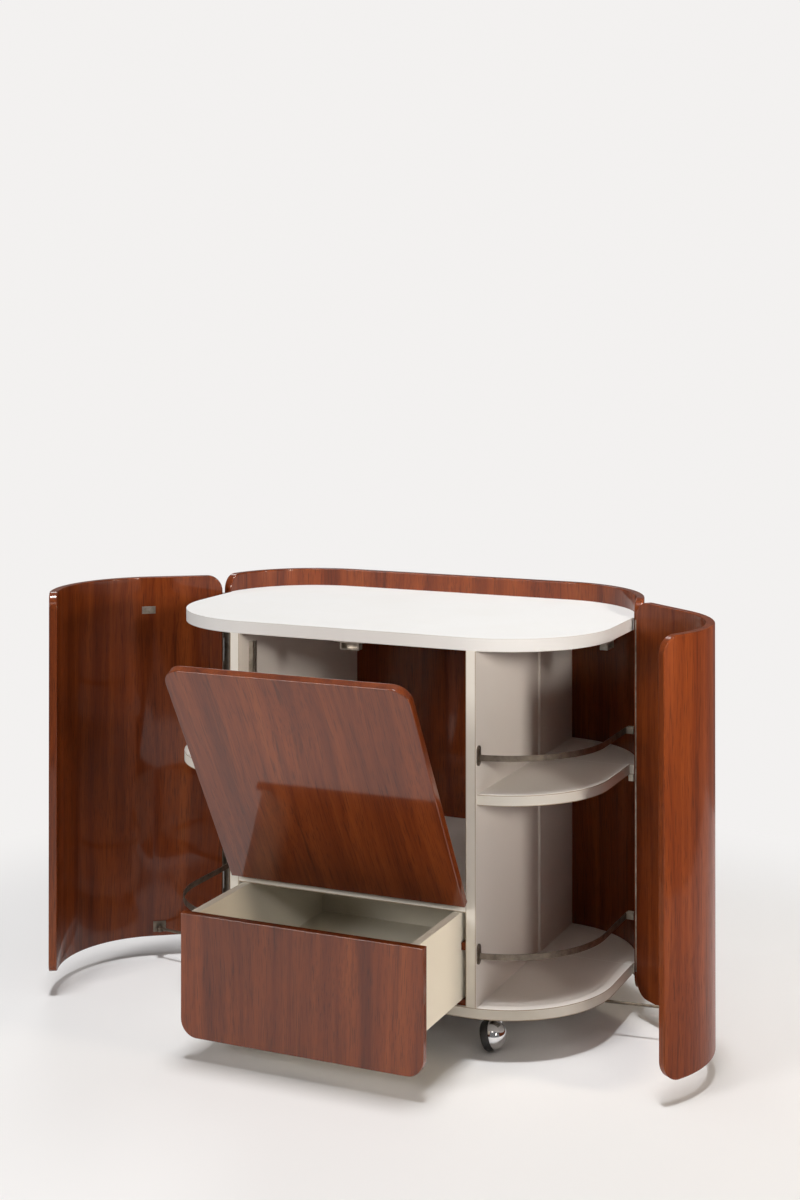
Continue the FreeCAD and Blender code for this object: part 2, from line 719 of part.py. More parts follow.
def place_on_flap(piece, x="0"):
    """Put a piece that is drawn closed, from the flap hinge axis, onto the open flap."""
    return place(piece, x, FLAP_Y, FLAP_Z, (1, 0, 0), "flap_open")


def make_flap():
    """Fall flap with its long hinge on the front edge of the bar shelf."""
    top = f"(rim_level - flap_drop - {FLAP_Z})"
    side = "front_half"
    plan = [
        (f"-{side}", "flap_foot"),
        (side, "flap_foot"),
        (side, f"{top} - panel_corner", "panel_corner", 1),
        (f"{side} - panel_corner", top),
        (f"-({side} - panel_corner)", top, "panel_corner", 1),
        (f"-{side}", f"{top} - panel_corner"),
    ]
    flap = new_body("flap_body")
    pad(flap, "flap_pad", "XZ", plan, "skin", False, "front_gap / 2")
    ease_edges(flap, "flap_arris")
    keep(place_on_flap(flap), "flap")

    length = "(2 * (front_half - flap_leaf_inset))"
    # Both leaves are drawn with the axis upright, then laid along X.
    foot = rectangle("-flap_foot", "-(skin + front_gap / 2 - leaf_edge)", "leaf - flap_foot", "0")
    moving = hinge_leaf("flap_leaf", foot, "flap_knuckle", length, False)
    lay_on_x(moving, "flap_open")
    keep(moving, "flap_hinge_leaf")
    face = rectangle("flap_axis_lift - leaf", "0", "flap_axis_lift", "shelf_leaf_wide")
    fixed = hinge_leaf("shelf_leaf", face, "flap_knuckle", length, True)
    lay_on_x(fixed, "0")
    keep(fixed, "shelf_hinge_leaf")
    pin = cylinder("flap_pin", "pin_radius", length, f"-{length} / 2", FLAP_Y, FLAP_Z, (0, 1, 0), "90")
    keep(pin, "flap_hinge_pin")


def lay_on_x(piece, angle):
    """Lay a hinge leaf along X on the flap axis; its drawn X then points down."""
    length = "(2 * (front_half - flap_leaf_inset))"
    x = f"-{length} / 2"
    upright = FreeCAD.Rotation(FreeCAD.Vector(0, 1, 0), 90)
    swing = FreeCAD.Rotation(FreeCAD.Vector(1, 0, 0), size(angle))
    base = FreeCAD.Vector(size(x), size(FLAP_Y), size(FLAP_Z))
    piece.Placement = FreeCAD.Placement(base, swing.multiply(upright))
    piece.setExpression("Placement.Base.x", formula(x))
    piece.setExpression("Placement.Base.y", formula(FLAP_Y))
    piece.setExpression("Placement.Base.z", formula(FLAP_Z))


def make_drawer():
    """Drawer: a veneered front, two sides and a back, and a bottom held in grooves."""
    half = "front_half"
    low = "skirt_level"
    plan = [
        (f"-({half} - panel_corner)", low),
        (f"{half} - panel_corner", low, "panel_corner", 1),
        (half, f"{low} + panel_corner"),
        (half, "drawer_top"),
        (f"-{half}", "drawer_top"),
        (f"-{half}", f"{low} + panel_corner", "panel_corner", 1),
    ]
    front = new_body("drawer_front_body")
    pad(front, "drawer_front_pad", "XZ", plan, "skin")
    ease_edges(front, "drawer_front_arris")
    keep(place(front, y=f"{FRONT_INNER} - drawer_pull"), "drawer_front")

    box_half = "(divider_half - side_gap)"
    box_low = "(drawer_top - drawer_deep)"
    box_front = f"({FRONT_INNER} - drawer_pull)"
    groove_low = f"({box_low} + floor_lift)"
    groove_tall = "(drawer_floor + 2 * floor_fit)"
    inner_half = f"({box_half} - drawer_side)"
    for sign, name in (("-", "left"), ("", "right")):
        x = f"-{box_half}" if sign else inner_half
        groove_x = f"-{inner_half} - floor_groove" if sign else inner_half
        board_at = (x, box_front, box_low)
        board = block(name + "_side_board", *board_at, "drawer_side", "drawer_long", "drawer_deep")
        slot_at = (groove_x, box_front, groove_low)
        slot = block(name + "_groove", *slot_at, "floor_groove", "drawer_long", groove_tall)
        keep(cut("drawer_" + name + "_side_cut", board, slot), f"drawer_{name}_side")
    back_y = f"({box_front} + drawer_long - drawer_side)"
    back_low = f"({groove_low} + {groove_tall})"
    back_tall = f"drawer_top - {back_low}"
    back_at = (f"-{inner_half}", back_y, back_low)
    back = block("drawer_back_board", *back_at, f"2 * {inner_half}", "drawer_side", back_tall)
    keep(back, "drawer_back")
    floor_half = f"({inner_half} + floor_groove - floor_fit)"
    floor_low = f"{groove_low} + floor_fit"
    floor_at = (f"-{floor_half}", box_front, floor_low)
    floor = block("drawer_floor_board", *floor_at, f"2 * {floor_half}", "drawer_long", "drawer_floor")
    keep(floor, "drawer_bottom")


def make_drawer_seats():
    """Runners under the drawer sides and guide strips beside them."""
    long = f"{SEAT_BACK} - {BOARD_FRONT} - 2 * runner_inset"
    y = f"{BOARD_FRONT} + runner_inset"
    tall = "drawer_top - drawer_deep - runner_play - floor_level"
    wide = "side_gap - guide_play"
    runners = []
    guides = []
    for sign, name in (("-", "left"), ("", "right")):
        x = "-divider_half" if sign else "divider_half - runner_wide"
        runners.append(block(name + "_runner", x, y, "floor_level", "runner_wide", long, tall))
        x = "-divider_half" if sign else f"divider_half - ({wide})"
        guides.append(block(name + "_guide", x, BOARD_FRONT, "guide_level", wide, long, "guide_tall"))
    keep(group("drawer_runners_group", runners), "drawer_runners")
    keep(group("drawer_guides_group", guides), "drawer_guides")


def rail_side(side):
    """Outer face of a rail beside the shell, drawn on the right."""
    return f"({BOARD_SIDE} - rail_inset)" if side > 0 else f"({BOARD_SIDE} - left_rail_inset)"


def rail_plan(side):
    """Rail strip, drawn on the right: from the divider's flange, round the corner, to the shell."""
    front = f"({BOARD_FRONT} + rail_inset)"
    edge = rail_side(side)
    radius = "(board_radius - rail_inset)" if side > 0 else "left_rail_radius"
    start = f"({DIVIDER_OUT} + flange_thick)"
    turn_y = f"({front} + {radius})"
    end = f"(hinge_reach + {LEAF_SPACE} + clip_long)"
    drop = f"({start} - {edge} + {radius})"
    inner = f"({radius} - rail_thick)"
    return [
        (start, f"{turn_y} - sqrt({radius} * {radius} - {drop} * {drop})", radius, 1),
        (edge, turn_y),
        (edge, end),
        (f"{edge} - rail_thick", end),
        (f"{edge} - rail_thick", turn_y, inner, -1),
        (start, f"{turn_y} - sqrt({inner} * {inner} - {drop} * {drop})"),
    ]


def screw_profile():
    """Screw along X from the board's face: a shank in the flange and a domed head on it."""
    return [
        ("0", "0"),
        ("flange_thick + head_thick", "0"),
        ("flange_thick + head_thick", "screw_radius", "head_round", 1),
        ("flange_thick", "screw_head"),
        ("flange_thick", "screw_radius"),
        ("0", "screw_radius"),
    ]


def make_rails():
    """Four bottle rails with their flanges, screws and clips."""
    clips = []
    screws = []
    levels = (("upper", "(shelf_level + upper_rail_lift)"), ("lower", "(floor_level + lower_rail_lift)"))
    flange_y = f"({BOARD_FRONT} + rail_inset)"
    bend = "(flange_wide / 2)"
    high = "(flange_lift + flange_tall / 2 - flange_wide / 2)"
    low = "(flange_lift - flange_tall / 2 + flange_wide / 2)"
    oval = [
        (f"{flange_y} - {bend}", low, bend, 1),
        (flange_y, f"{low} - {bend}", bend, 1),
        (f"{flange_y} + {bend}", low),
        (f"{flange_y} + {bend}", high, bend, 1),
        (flange_y, f"{high} + {bend}", bend, 1),
        (f"{flange_y} - {bend}", high),
    ]
    end = f"(hinge_reach + {LEAF_SPACE} + clip_long)"
    rise = f"({end} - {ARC_BACK_Y})"
    wall_x = f"({ARC_X} + sqrt({SEAT_RADIUS} * {SEAT_RADIUS} - {rise} * {rise}))"
    for side, name in ((-1, "left"), (1, "right")):
        for height, level in levels:
            label = f"{name}_{height}_rail"
            rail = new_body(label + "_body")
            plan = sided(rail_plan(side), side)
            pad(rail, label + "_strip", "XY", plan, "rail_tall", False, "-rail_tall / 2")
            lift = DIVIDER_OUT if side > 0 else f"-({DIVIDER_OUT})"
            pad(rail, label + "_flange", "YZ", oval, "flange_thick", side < 0, lift)
            spots = ("(flange_lift + screw_pitch / 2)", "(flange_lift - screw_pitch / 2)")
            holes = [(flange_y, spot, "screw_radius + screw_play") for spot in spots]
            pocket(rail, label + "_holes", "YZ", holes, "flange_thick", side > 0, lift)
            keep(place(rail, z=level), label)
            x = rail_side(side) if side > 0 else f"-{wall_x}"
            arm = f"{wall_x} - {rail_side(side)}"
            clip_at = (x, f"{end} - clip_long + clip_lap", f"{level} - clip_tall / 2")
            clips.append(block(label + "_clip", *clip_at, arm, "clip_long", "clip_tall"))
            for number, spot in enumerate(spots):
                screw = new_body(f"{label}_screw_{number}")
                revolve(screw, f"{label}_screw_turn_{number}", screw_profile())
                x = DIVIDER_OUT if side > 0 else f"-{DIVIDER_OUT}"
                turn = "0" if side > 0 else "180"
                screws.append(place(screw, x, flange_y, f"{level} + {spot}", (0, 0, 1), turn))
    keep(group("rail_clips_group", clips), "rail_clips")
    keep(group("rail_screws_group", screws), "rail_screws")

    supports = []
    low = "shelf_level - board - clip_tall"
    for side, name in ((-1, "left"), (1, "right")):
        setback = "shelf_setback" if side > 0 else "left_shelf_setback"
        arm = f"{wall_x} - {BOARD_SIDE} + {setback} + clip_wall"
        inner = f"({wall_x} - ({arm}))"
        x = inner if side > 0 else f"-{wall_x}"
        y = f"{end} - clip_long + 2 * clip_lap"
        supports.append(block(name + "_shelf_clip", x, y, low, arm, "clip_long", "clip_tall"))
    keep(group("shelf_clips_group", supports), "shelf_clips")


def catch_body(name):
    """Spring catch: a plate with two ears and a box with an open mouth to the front."""
    body = new_body(name)
    half = "(catch_wide / 2 + catch_ear)"
    pad(body, name + "_plate", "XY", rectangle(f"-{half}", "0", half, "catch_deep"), "catch_wall", True)
    box = rectangle("-catch_wide / 2", "0", "catch_wide / 2", "catch_deep")
    pad(body, name + "_box", "XY", box, "catch_tall", True)
    mouth = rectangle("-jaw_wide / 2", "catch_wall - catch_tall", "jaw_wide / 2", "-2 * catch_wall")
    pocket(body, name + "_mouth", "XZ", [mouth], "catch_deep - catch_wall", False)
    return body


def strike_plan(side):
    """Strike plate on a closed door, drawn on the right from the hinge axis."""
    half = "(strike_wide / 2)"
    if side > 0:
        face = "(-knuckle_proud - skin)"
        near = f"{half} - right_catch_reach"
        return rectangle(f"{face} - catch_wall", f"-{half} - right_catch_reach", face, near)
    # The left strike stands on the bend, square to the radius through its middle.
    across = "cos(left_strike_turn)"
    along = "sin(left_strike_turn)"
    radius = f"({INNER_RADIUS} - left_strike_gap)"
    out_x = f"({ARC_X} - {HINGE_X} + {radius} * {across})"
    out_y = f"({ARC_FRONT_Y} - hinge_reach - {radius} * {along})"
    in_x = f"({out_x} - catch_wall * {across})"
    in_y = f"({out_y} + catch_wall * {along})"
    return [
        (f"{in_x} - {half} * {along}", f"{in_y} - {half} * {across}"),
        (f"{out_x} - {half} * {along}", f"{out_y} - {half} * {across}"),
        (f"{out_x} + {half} * {along}", f"{out_y} + {half} * {across}"),
        (f"{in_x} + {half} * {along}", f"{in_y} + {half} * {across}"),
    ]


def make_catches():
    """Catches under the top board, and their strikes on flap and doors."""
    catch = catch_body("flap_catch_body")
    keep(place(catch, "0", f"{BOARD_FRONT} + catch_inset", TOP_UNDER), "flap_catch")
    right = catch_body("right_door_catch_body")
    y = "hinge_reach - right_catch_reach"
    place(right, f"{BOARD_SIDE} - catch_inset", y, TOP_UNDER, (0, 0, 1), "90")
    left = catch_body("left_door_catch_body")
    radius = "(board_radius - catch_inset)"
    x = f"-({BOARD_SIDE} - board_radius + {radius} * cos(left_catch_turn))"
    y = f"{BOARD_FRONT} + board_radius - {radius} * sin(left_catch_turn)"
    place(left, x, y, TOP_UNDER, (0, 0, 1), "left_catch_turn - 90")
    keep(group("door_catches_group", [left, right]), "door_catches")

    low = f"{TOP_UNDER} - skirt_level - catch_wall - strike_tall"
    for side, name in ((-1, "left"), (1, "right")):
        strike = new_body(name + "_strike_body")
        plan = sided(strike_plan(side), side)
        pad(strike, name + "_strike_plate", "XY", plan, "strike_tall", False, low)
        place_on_door(strike, side, "skirt_level")
        keep(strike, name + "_door_strike")

    strike = new_body("flap_strike_body")
    low = f"({TOP_UNDER} - catch_wall - strike_tall - {FLAP_Z})"
    plate = rectangle("-strike_wide / 2", low, "strike_wide / 2", f"{low} + strike_tall")
    pad(strike, "flap_strike_plate", "XZ", plate, "catch_wall", True, "front_gap / 2")
    keep(place_on_flap(strike), "flap_strike")


# Layers of the flap stay, from the left divider inwards
SHOE_X = "(track_deep + stay_slip - divider_half)"
ARM_X = "(track_deep + arm_thick + 2 * stay_slip - divider_half)"
LUG_X = "(track_deep + 2 * arm_thick + 3 * stay_slip - divider_half)"


def make_flap_stay():
    """Flap stay: a pivoted arm whose upper end runs in a track on the left divider."""
    track = new_body("flap_stay_track_body")
    wide = "(track_wide / 2)"
    wall = "track_wall"
    slot = "(track_slot / 2)"
    near = "-divider_half"
    far = "(track_deep - divider_half)"
    channel = [
        (near, f"track_back - {wide}"),
        (far, f"track_back - {wide}"),
        (far, f"track_back - {slot}"),
        (f"{far} - {wall}", f"track_back - {slot}"),
        (f"{far} - {wall}", f"track_back - {wide} + {wall}"),
        (f"{near} + {wall}", f"track_back - {wide} + {wall}"),
        (f"{near} + {wall}", f"track_back + {wide} - {wall}"),
        (f"{far} - {wall}", f"track_back + {wide} - {wall}"),
        (f"{far} - {wall}", f"track_back + {slot}"),
        (far, f"track_back + {slot}"),
        (far, f"track_back + {wide}"),
        (near, f"track_back + {wide}"),
    ]
    pad(track, "track_pad", "XY", channel, "track_high - track_low", False, "track_low")
    keep(place(track, "0", FLAP_Y, FLAP_Z, (1, 0, 0), "-stay_lean"), "flap_stay_track")

    swing = "(flap_open - stay_lean)"
    pivot_y = f"({FLAP_Y} - stay_arm_length * sin({swing}))"
    pivot_z = f"({FLAP_Z} + stay_arm_length * cos({swing}))"
    lean = "(flap_open + stay_lean)"
    top_y = f"({pivot_y} + stay_arm_length * sin({lean}))"
    top_z = f"({pivot_z} + stay_arm_length * cos({lean}))"

    arm = new_body("flap_stay_arm_body")
    strip = [
        ("-arm_half", "0", "arm_half", 1),
        ("0", "-arm_half", "arm_half", 1),
        ("arm_half", "0"),
        ("arm_half", "stay_arm_length", "arm_half", 1),
        ("0", "stay_arm_length + arm_half", "arm_half", 1),
        ("-arm_half", "stay_arm_length"),
    ]
    pad(arm, "arm_strip", "YZ", strip, "arm_thick", False, ARM_X)
    bore = "arm_pin + pin_play"
    pocket(arm, "arm_bores", "YZ", [("0", "0", bore), ("0", "stay_arm_length", bore)])
    keep(place(arm, "0", pivot_y, pivot_z, (1, 0, 0), f"-{lean}"), "flap_stay_arm")

    shoe = new_body("flap_stay_shoe_body")
    half = "(shoe_tall / 2)"
    plate = [
        ("-arm_half", "0", "arm_half", 1),
        ("0", "-arm_half"),
        (f"track_back + track_wide / 2", f"-{half}"),
        (f"track_back + track_wide / 2", half),
        ("0", "arm_half", "arm_half", 1),
    ]
    pad(shoe, "shoe_plate", "YZ", plate, "arm_thick", False, SHOE_X)
    neck = "(track_slot / 2 - shoe_play)"
    neck_plan = rectangle(f"track_back - {neck}", f"-{half}", f"track_back + {neck}", half)
    pad(shoe, "shoe_neck", "YZ", neck_plan, "stay_slip + track_wall + shoe_play", True, SHOE_X)
    body_half = "(track_wide / 2 - track_wall - shoe_play)"
    block_plan = rectangle(f"track_back - {body_half}", f"-{half}", f"track_back + {body_half}", half)
    inside = "(track_deep - track_wall - shoe_play - divider_half)"
    pad(shoe, "shoe_block", "YZ", block_plan, "track_deep - 2 * track_wall - 2 * shoe_play", True, inside)
    pin_long = "arm_thick + 2 * stay_slip"
    pad(shoe, "shoe_pin", "YZ", ("0", "0", "arm_pin"), pin_long, False, f"{SHOE_X} + arm_thick")
    pad(shoe, "shoe_pin_head", "YZ", ("0", "0", "arm_half"), "head_thick", False, LUG_X)
    keep(place(shoe, "0", top_y, top_z, (1, 0, 0), "-stay_lean"), "flap_stay_shoe")

    bracket = new_body("flap_stay_bracket_body")
    pin_y = "(stay_arm_length * sin(stay_lean))"
    pin_z = "(stay_arm_length * cos(stay_lean))"
    face = "(-front_gap / 2)"
    half = "(bracket_tall / 2)"
    foot = rectangle(face, f"{pin_z} - {half}", f"{face} + catch_wall", f"{pin_z} + {half}")
    pad(bracket, "bracket_foot", "YZ", foot, "bracket_wide", False, LUG_X)
    lug = [
        (face, f"{pin_z} - {half}"),
        (pin_y, f"{pin_z} - arm_half", "arm_half", 1),
        (f"{pin_y} + arm_half", pin_z, "arm_half", 1),
        (pin_y, f"{pin_z} + arm_half"),
        (face, f"{pin_z} + {half}"),
    ]
    pad(bracket, "bracket_lug", "YZ", lug, "catch_wall", False, LUG_X)
    reach = "arm_thick + stay_slip"
    pad(bracket, "bracket_pin", "YZ", (pin_y, pin_z, "arm_pin"), reach, True, LUG_X)
    keep(place_on_flap(bracket), "flap_stay_bracket")


# Door stays, measured on the right-hand side from the hinge axis with the door closed
PIVOT_X = "(-knuckle_proud - skin - rod_stand)"
PIVOT_Y = f"({ARC_FRONT_Y} - hinge_reach + rod_set)"
SPOKE = f"sqrt({PIVOT_X} * {PIVOT_X} + {PIVOT_Y} * {PIVOT_Y})"
BEARING = f"(atan({PIVOT_X} / {PIVOT_Y}) / 1 deg)"
ROD_Z = f"({FLOOR_UNDER} - rod_drop)"


def make_door_stays():
    """Door stays: a rod hinged on each door slides through a swivel guide under the floor board."""
    posts = []
    for side, name in ((-1, "left"), (1, "right")):
        sign = "" if side > 0 else "-"
        opening = "right_open" if side > 0 else "left_open"
        hinge = HINGE_X if side > 0 else f"-{HINGE_X}"
        # The guide stands as far from the hinge axis as the rod's pivot on the door does.
        guide_x = f"({hinge} + {sign}1 * ({PIVOT_X} * cos(rod_lead) + {PIVOT_Y} * sin(rod_lead)))"
        guide_y = f"(hinge_reach + {PIVOT_Y} * cos(rod_lead) - {PIVOT_X} * sin(rod_lead))"
        rod_turn_x = f"({PIVOT_X} * cos({opening}) - {PIVOT_Y} * sin({opening}))"
        rod_turn_y = f"({PIVOT_X} * sin({opening}) + {PIVOT_Y} * cos({opening}))"
        pivot_x = f"({hinge} + {sign}1 * {rod_turn_x})"
        pivot_y = f"(hinge_reach + {rod_turn_y})"

        post = new_body(name + "_stay_post_body")
        pad(post, name + "_stay_post_plate", "XY", ("0", "0", "post_flange"), "post_plate", True)
        post_long = "rod_drop - rod_radius - post_end"
        pad(post, name + "_stay_post_pin", "XY", ("0", "0", "post_radius"), post_long, True)
        posts.append(place(post, guide_x, guide_y, FLOOR_UNDER))

        bracket = new_body(name + "_stay_bracket_body")
        inner = "(-knuckle_proud - skin)"
        foot_half = "(foot_wide / 2)"
        low = "(-foot_tall / 2)"
        far_y = f"{PIVOT_Y} + {foot_half}"
        foot = rectangle(f"{inner} - foot_thick", f"{PIVOT_Y} - {foot_half}", inner, far_y)
        pad(bracket, name + "_stay_foot", "XY", sided(foot, side), "foot_tall", False, low)
        lug = [
            (inner, f"{PIVOT_Y} - rod_eye"),
            (inner, f"{PIVOT_Y} + rod_eye"),
            (PIVOT_X, f"{PIVOT_Y} + rod_eye", "rod_eye", 1),
            (f"{PIVOT_X} - rod_eye", PIVOT_Y, "rod_eye", 1),
            (PIVOT_X, f"{PIVOT_Y} - rod_eye"),
        ]
        under = "(-rod_radius - stay_slip - foot_thick)"
        pad(bracket, name + "_stay_lug", "XY", sided(lug, side), "foot_thick", False, under)
        pin_x = PIVOT_X if side > 0 else f"-{PIVOT_X}"
        pin_long = "2 * rod_radius + 2 * stay_slip + rod_pin_over"
        pin_low = "-rod_radius - stay_slip"
        pad(bracket, name + "_stay_pin", "XY", (pin_x, PIVOT_Y, "rod_pin"), pin_long, False, pin_low)
        place_on_door(bracket, side, ROD_Z)
        keep(bracket, name + "_stay_bracket")

        make_stay_rod(side, name, opening, pivot_x, pivot_y, guide_x, guide_y)
    keep(group("stay_guide_posts_group", posts), "stay_guide_posts")


def make_stay_rod(side, name, opening, pivot_x, pivot_y, guide_x, guide_y):
    """Rod with an eye on the door pin and a stop collar, and the swivel guide it runs through."""
    reach = f"(2 * {SPOKE} * sin((door_swing + rod_lead) / 2))"
    total = f"({reach} + guide_radius + collar_long + collar_clear)"
    # The rod turns half as far as the door does.
    turned = f"(180 - {BEARING} - rod_lead / 2 + {opening} / 2)"
    if side < 0:
        turned = f"({BEARING} + rod_lead / 2 - {opening} / 2)"

    rod = new_body(name + "_stay_rod_body")
    pad(rod, name + "_rod_eye", "XY", ("0", "0", "rod_eye"), "2 * rod_radius", False, "-rod_radius")
    pad(rod, name + "_rod_bar", "YZ", ("0", "0", "rod_radius"), f"{total}")
    collar_at = f"{total} - collar_long"
    pad(rod, name + "_rod_collar", "YZ", ("0", "0", "collar_radius"), "collar_long", False, collar_at)
    pocket(rod, name + "_rod_bore", "XY", [("0", "0", "rod_pin + pin_play")])
    place(rod, pivot_x, pivot_y, ROD_Z, (0, 0, 1), turned)
    keep(rod, name + "_stay_rod")

    guide = new_body(name + "_stay_guide_body")
    pad(guide, name + "_guide_drum", "XY", ("0", "0", "guide_radius"), "2 * guide_half", False, "-guide_half")
    pocket(guide, name + "_guide_bore", "YZ", [("0", "0", "rod_radius + rod_play")])
    deep = "guide_half - rod_radius - seat_end"
    seat = [("0", "0", "post_radius + pin_play")]
    pocket(guide, name + "_guide_seat", "XY", seat, deep, False, "guide_half")
    place(guide, guide_x, guide_y, ROD_Z, (0, 0, 1), turned)
    keep(guide, name + "_stay_guide")


def make_casters():
    """Four ball casters: a plate with a socket, a domed hood on a stem, and a canted wheel."""
    plates = []
    corners = (
        ("front_left", "-caster_half", "front_caster", "front_left_turn"),
        ("front_right", "caster_half", "front_caster", "front_right_turn"),
        ("back_left", "-caster_half", "back_caster", "back_left_turn"),
        ("back_right", "caster_half", "back_caster", "back_right_turn"),
    )
    for name, x, y, turn in corners:
        plate = new_body(name + "_plate_body")
        square = rectangle("-plate_half", "-plate_half", "plate_half", "plate_half")
        pad(plate, name + "_plate_square", "XY", square, "plate_thick", True)
        socket_long = "plate_thick + socket_deep"
        pad(plate, name + "_plate_socket", "XY", ("0", "0", "socket_radius"), socket_long, True)
        bore = [("0", "0", "stem_radius + stem_play")]
        deep = "socket_deep + bore_extra"
        pocket(plate, name + "_plate_bore", "XY", bore, deep, True, f"-({socket_long})")
        plates.append(place(plate, x, y, FLOOR_UNDER))
        make_caster(name, x, y, turn)
    keep(group("caster_plates_group", plates), "caster_plates")


def make_caster(name, x, y, turn):
    """One hood with its stem and axle, and one wheel, both turned about the swivel."""
    swivel = FreeCAD.Rotation(FreeCAD.Vector(0, 0, 1), size(turn))
    lean = FreeCAD.Rotation(FreeCAD.Vector(0, 1, 0), size("-cant"))
    centre = FreeCAD.Vector(size("-stem_side"), size("-trail"), size(WHEEL_Z))
    base = FreeCAD.Vector(size(x), size(y), 0)
    at_wheel = FreeCAD.Placement(base + swivel.multVec(centre), swivel.multiply(lean))

    wheel = new_body(name + "_wheel_body")
    revolve(wheel, name + "_wheel_turn", wheel_profile())
    wheel.Placement = at_wheel
    keep(wheel, name + "_wheel")

    dome = new_body(name + "_dome_body")
    revolve(dome, name + "_dome_turn", dome_profile())
    dome.Placement = at_wheel
    stem = cylinder(name + "_stem", "stem_radius", f"{STEM_TOP} - {WHEEL_Z}", x, y, WHEEL_Z)
    joined = fuse(name + "_hood_fuse", [dome, stem])
    keep(joined, name + "_hood")


WHEEL_Z = "((wheel_radius - tyre_crown) * cos(cant) + tyre_crown + (wheel_wide - tyre_crown) * sin(cant))"
STEM_TOP = f"({FLOOR_UNDER} - plate_thick - stem_short)"


def revolve(body, name, corners):
    """Turn a profile, drawn in the XZ plane, once about the X axis."""
    sketch = new_sketch(body, name + "_sketch", "XZ")
    outline(sketch, corners)
    feature = body.newObject("PartDesign::Revolution", name)
    feature.Profile = sketch
    feature.ReferenceAxis = (sketch, ["H_Axis"])
    feature.Angle = 360
    return feature


def wheel_profile():
    """Wheel section above its axle: a round-shouldered tyre and a dished outer face."""
    bore = "(axle_radius + axle_play)"
    return [
        ("-wheel_wide + hub_dish", bore),
        ("0", bore),
        ("0", "wheel_radius - tyre_crown", "tyre_crown", 1),
        ("-tyre_crown", "wheel_radius"),
        ("-wheel_wide + tyre_crown", "wheel_radius", "tyre_crown", 1),
        ("-wheel_wide", "wheel_radius - tyre_crown"),
        ("-wheel_wide", "hub_radius"),
        ("-wheel_wide + hub_dish", "hub_radius - hub_dish"),
    ]


def dome_profile():
    """Hood section: a dome beside the wheel, with the axle on its flat side."""
    gap = "hood_gap"
    return [
        ("-wheel_wide + hub_dish", "0"),
        (f"{gap} + hood_radius", "0", "hood_radius", 1),
        (gap, "hood_radius"),
        (gap, "axle_radius"),
        ("-wheel_wide + hub_dish", "axle_radius"),
    ]


make_boards()
make_shell()
make_doors()
make_door_hinges()
make_flap()
make_drawer()
make_drawer_seats()
make_rails()
make_catches()
make_flap_stay()
make_door_stays()
make_casters()
doc.recompute()

for item in doc.Objects:
    if "Invalid" in item.State or "Error" in item.State:
        raise RuntimeError(f"{item.Name} failed: {item.State}")
for piece in pieces:
    if piece.Shape.isNull() or not piece.Shape.isValid():
        raise RuntimeError(piece.Label + " has no valid shape")

os.makedirs("parts", exist_ok=True)
for piece in pieces:
    piece.Shape.exportStep(os.path.join("parts", piece.Label + ".step"))
print(len(pieces), "pieces written")
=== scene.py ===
# %% [markdown]
# # A mobile bar cart
# The cart is a drum of bent, lacquered veneer around white laminate boards. Its solids come
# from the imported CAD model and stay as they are. This lesson sets up the camera, gives each
# solid its finish, and then builds the floor, the backdrop and the lamps.

# %% Load the solids
import json
import math

import bmesh
import bpy
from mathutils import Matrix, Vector

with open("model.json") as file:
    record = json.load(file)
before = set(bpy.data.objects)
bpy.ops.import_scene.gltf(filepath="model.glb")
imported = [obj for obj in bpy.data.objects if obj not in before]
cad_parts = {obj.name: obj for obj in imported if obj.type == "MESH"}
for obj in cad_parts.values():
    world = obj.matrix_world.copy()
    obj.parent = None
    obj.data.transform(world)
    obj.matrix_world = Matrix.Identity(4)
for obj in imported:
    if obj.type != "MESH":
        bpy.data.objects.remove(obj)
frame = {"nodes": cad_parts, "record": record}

nodes = frame["nodes"]
scene = bpy.context.scene
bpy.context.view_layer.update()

# %% [markdown]
# ## The camera
# The cart is seen from the right of the middle, through a long lens, and its uprights are
# parallel. A camera that is tilted down would frame it too, but would make the uprights
# lean. So the camera stays level and the picture is framed with a lens shift.

# %% Place the camera
CAMERA_PLACE = Vector((1.3595, -2.9484, 1.2072))
CAMERA_AZIMUTH = math.radians(24.1)
CAMERA_TILT = math.radians(0.4)
SENSOR_WIDTH = 36.0
FOCAL_LENGTH = 54.6
LENS_SHIFT = -0.2303

camera_data = bpy.data.cameras.new("camera")
camera_data.sensor_width = SENSOR_WIDTH
camera_data.lens = FOCAL_LENGTH
camera_data.shift_y = LENS_SHIFT
camera = bpy.data.objects.new("camera", camera_data)
camera.location = CAMERA_PLACE
camera.rotation_euler = (math.pi / 2 + CAMERA_TILT, 0.0, CAMERA_AZIMUTH)
scene.collection.objects.link(camera)
scene.camera = camera
scene.view_settings.view_transform = "Standard"
print("camera at", tuple(CAMERA_PLACE))

# %% [markdown]
# ## Node helpers
# Wood, laminate and metal all have a pattern that a single colour would miss. It could be
# painted on an image, but an image shows its pixels close up. So each finish is a small
# tree of shader nodes, and these helpers add and link nodes, groups and materials.


# %% Write the node helpers
def add_node(tree, kind, values=None, **settings):
    """Adds a node, sets its properties, and then its input values by name or number."""
    node = tree.nodes.new(kind)
    for name, value in settings.items():
        setattr(node, name, value)
    for name, value in (values or {}).items():
        node.inputs[name].default_value = value
    return node


def join(tree, source, target):
    """Links an output socket to an input socket."""
    tree.links.new(source, target)


def start_group(name, inputs, outputs):
    """Makes a shader group; inputs are (name, kind, default), outputs are (name, kind)."""
    tree = bpy.data.node_groups.new(name, "ShaderNodeTree")
    for label, kind, default in inputs:
        socket = tree.interface.new_socket(label, in_out="INPUT", socket_type="NodeSocket" + kind)
        socket.default_value = default
    for label, kind in outputs:
        tree.interface.new_socket(label, in_out="OUTPUT", socket_type="NodeSocket" + kind)
    return tree, tree.nodes.new("NodeGroupInput"), tree.nodes.new("NodeGroupOutput")


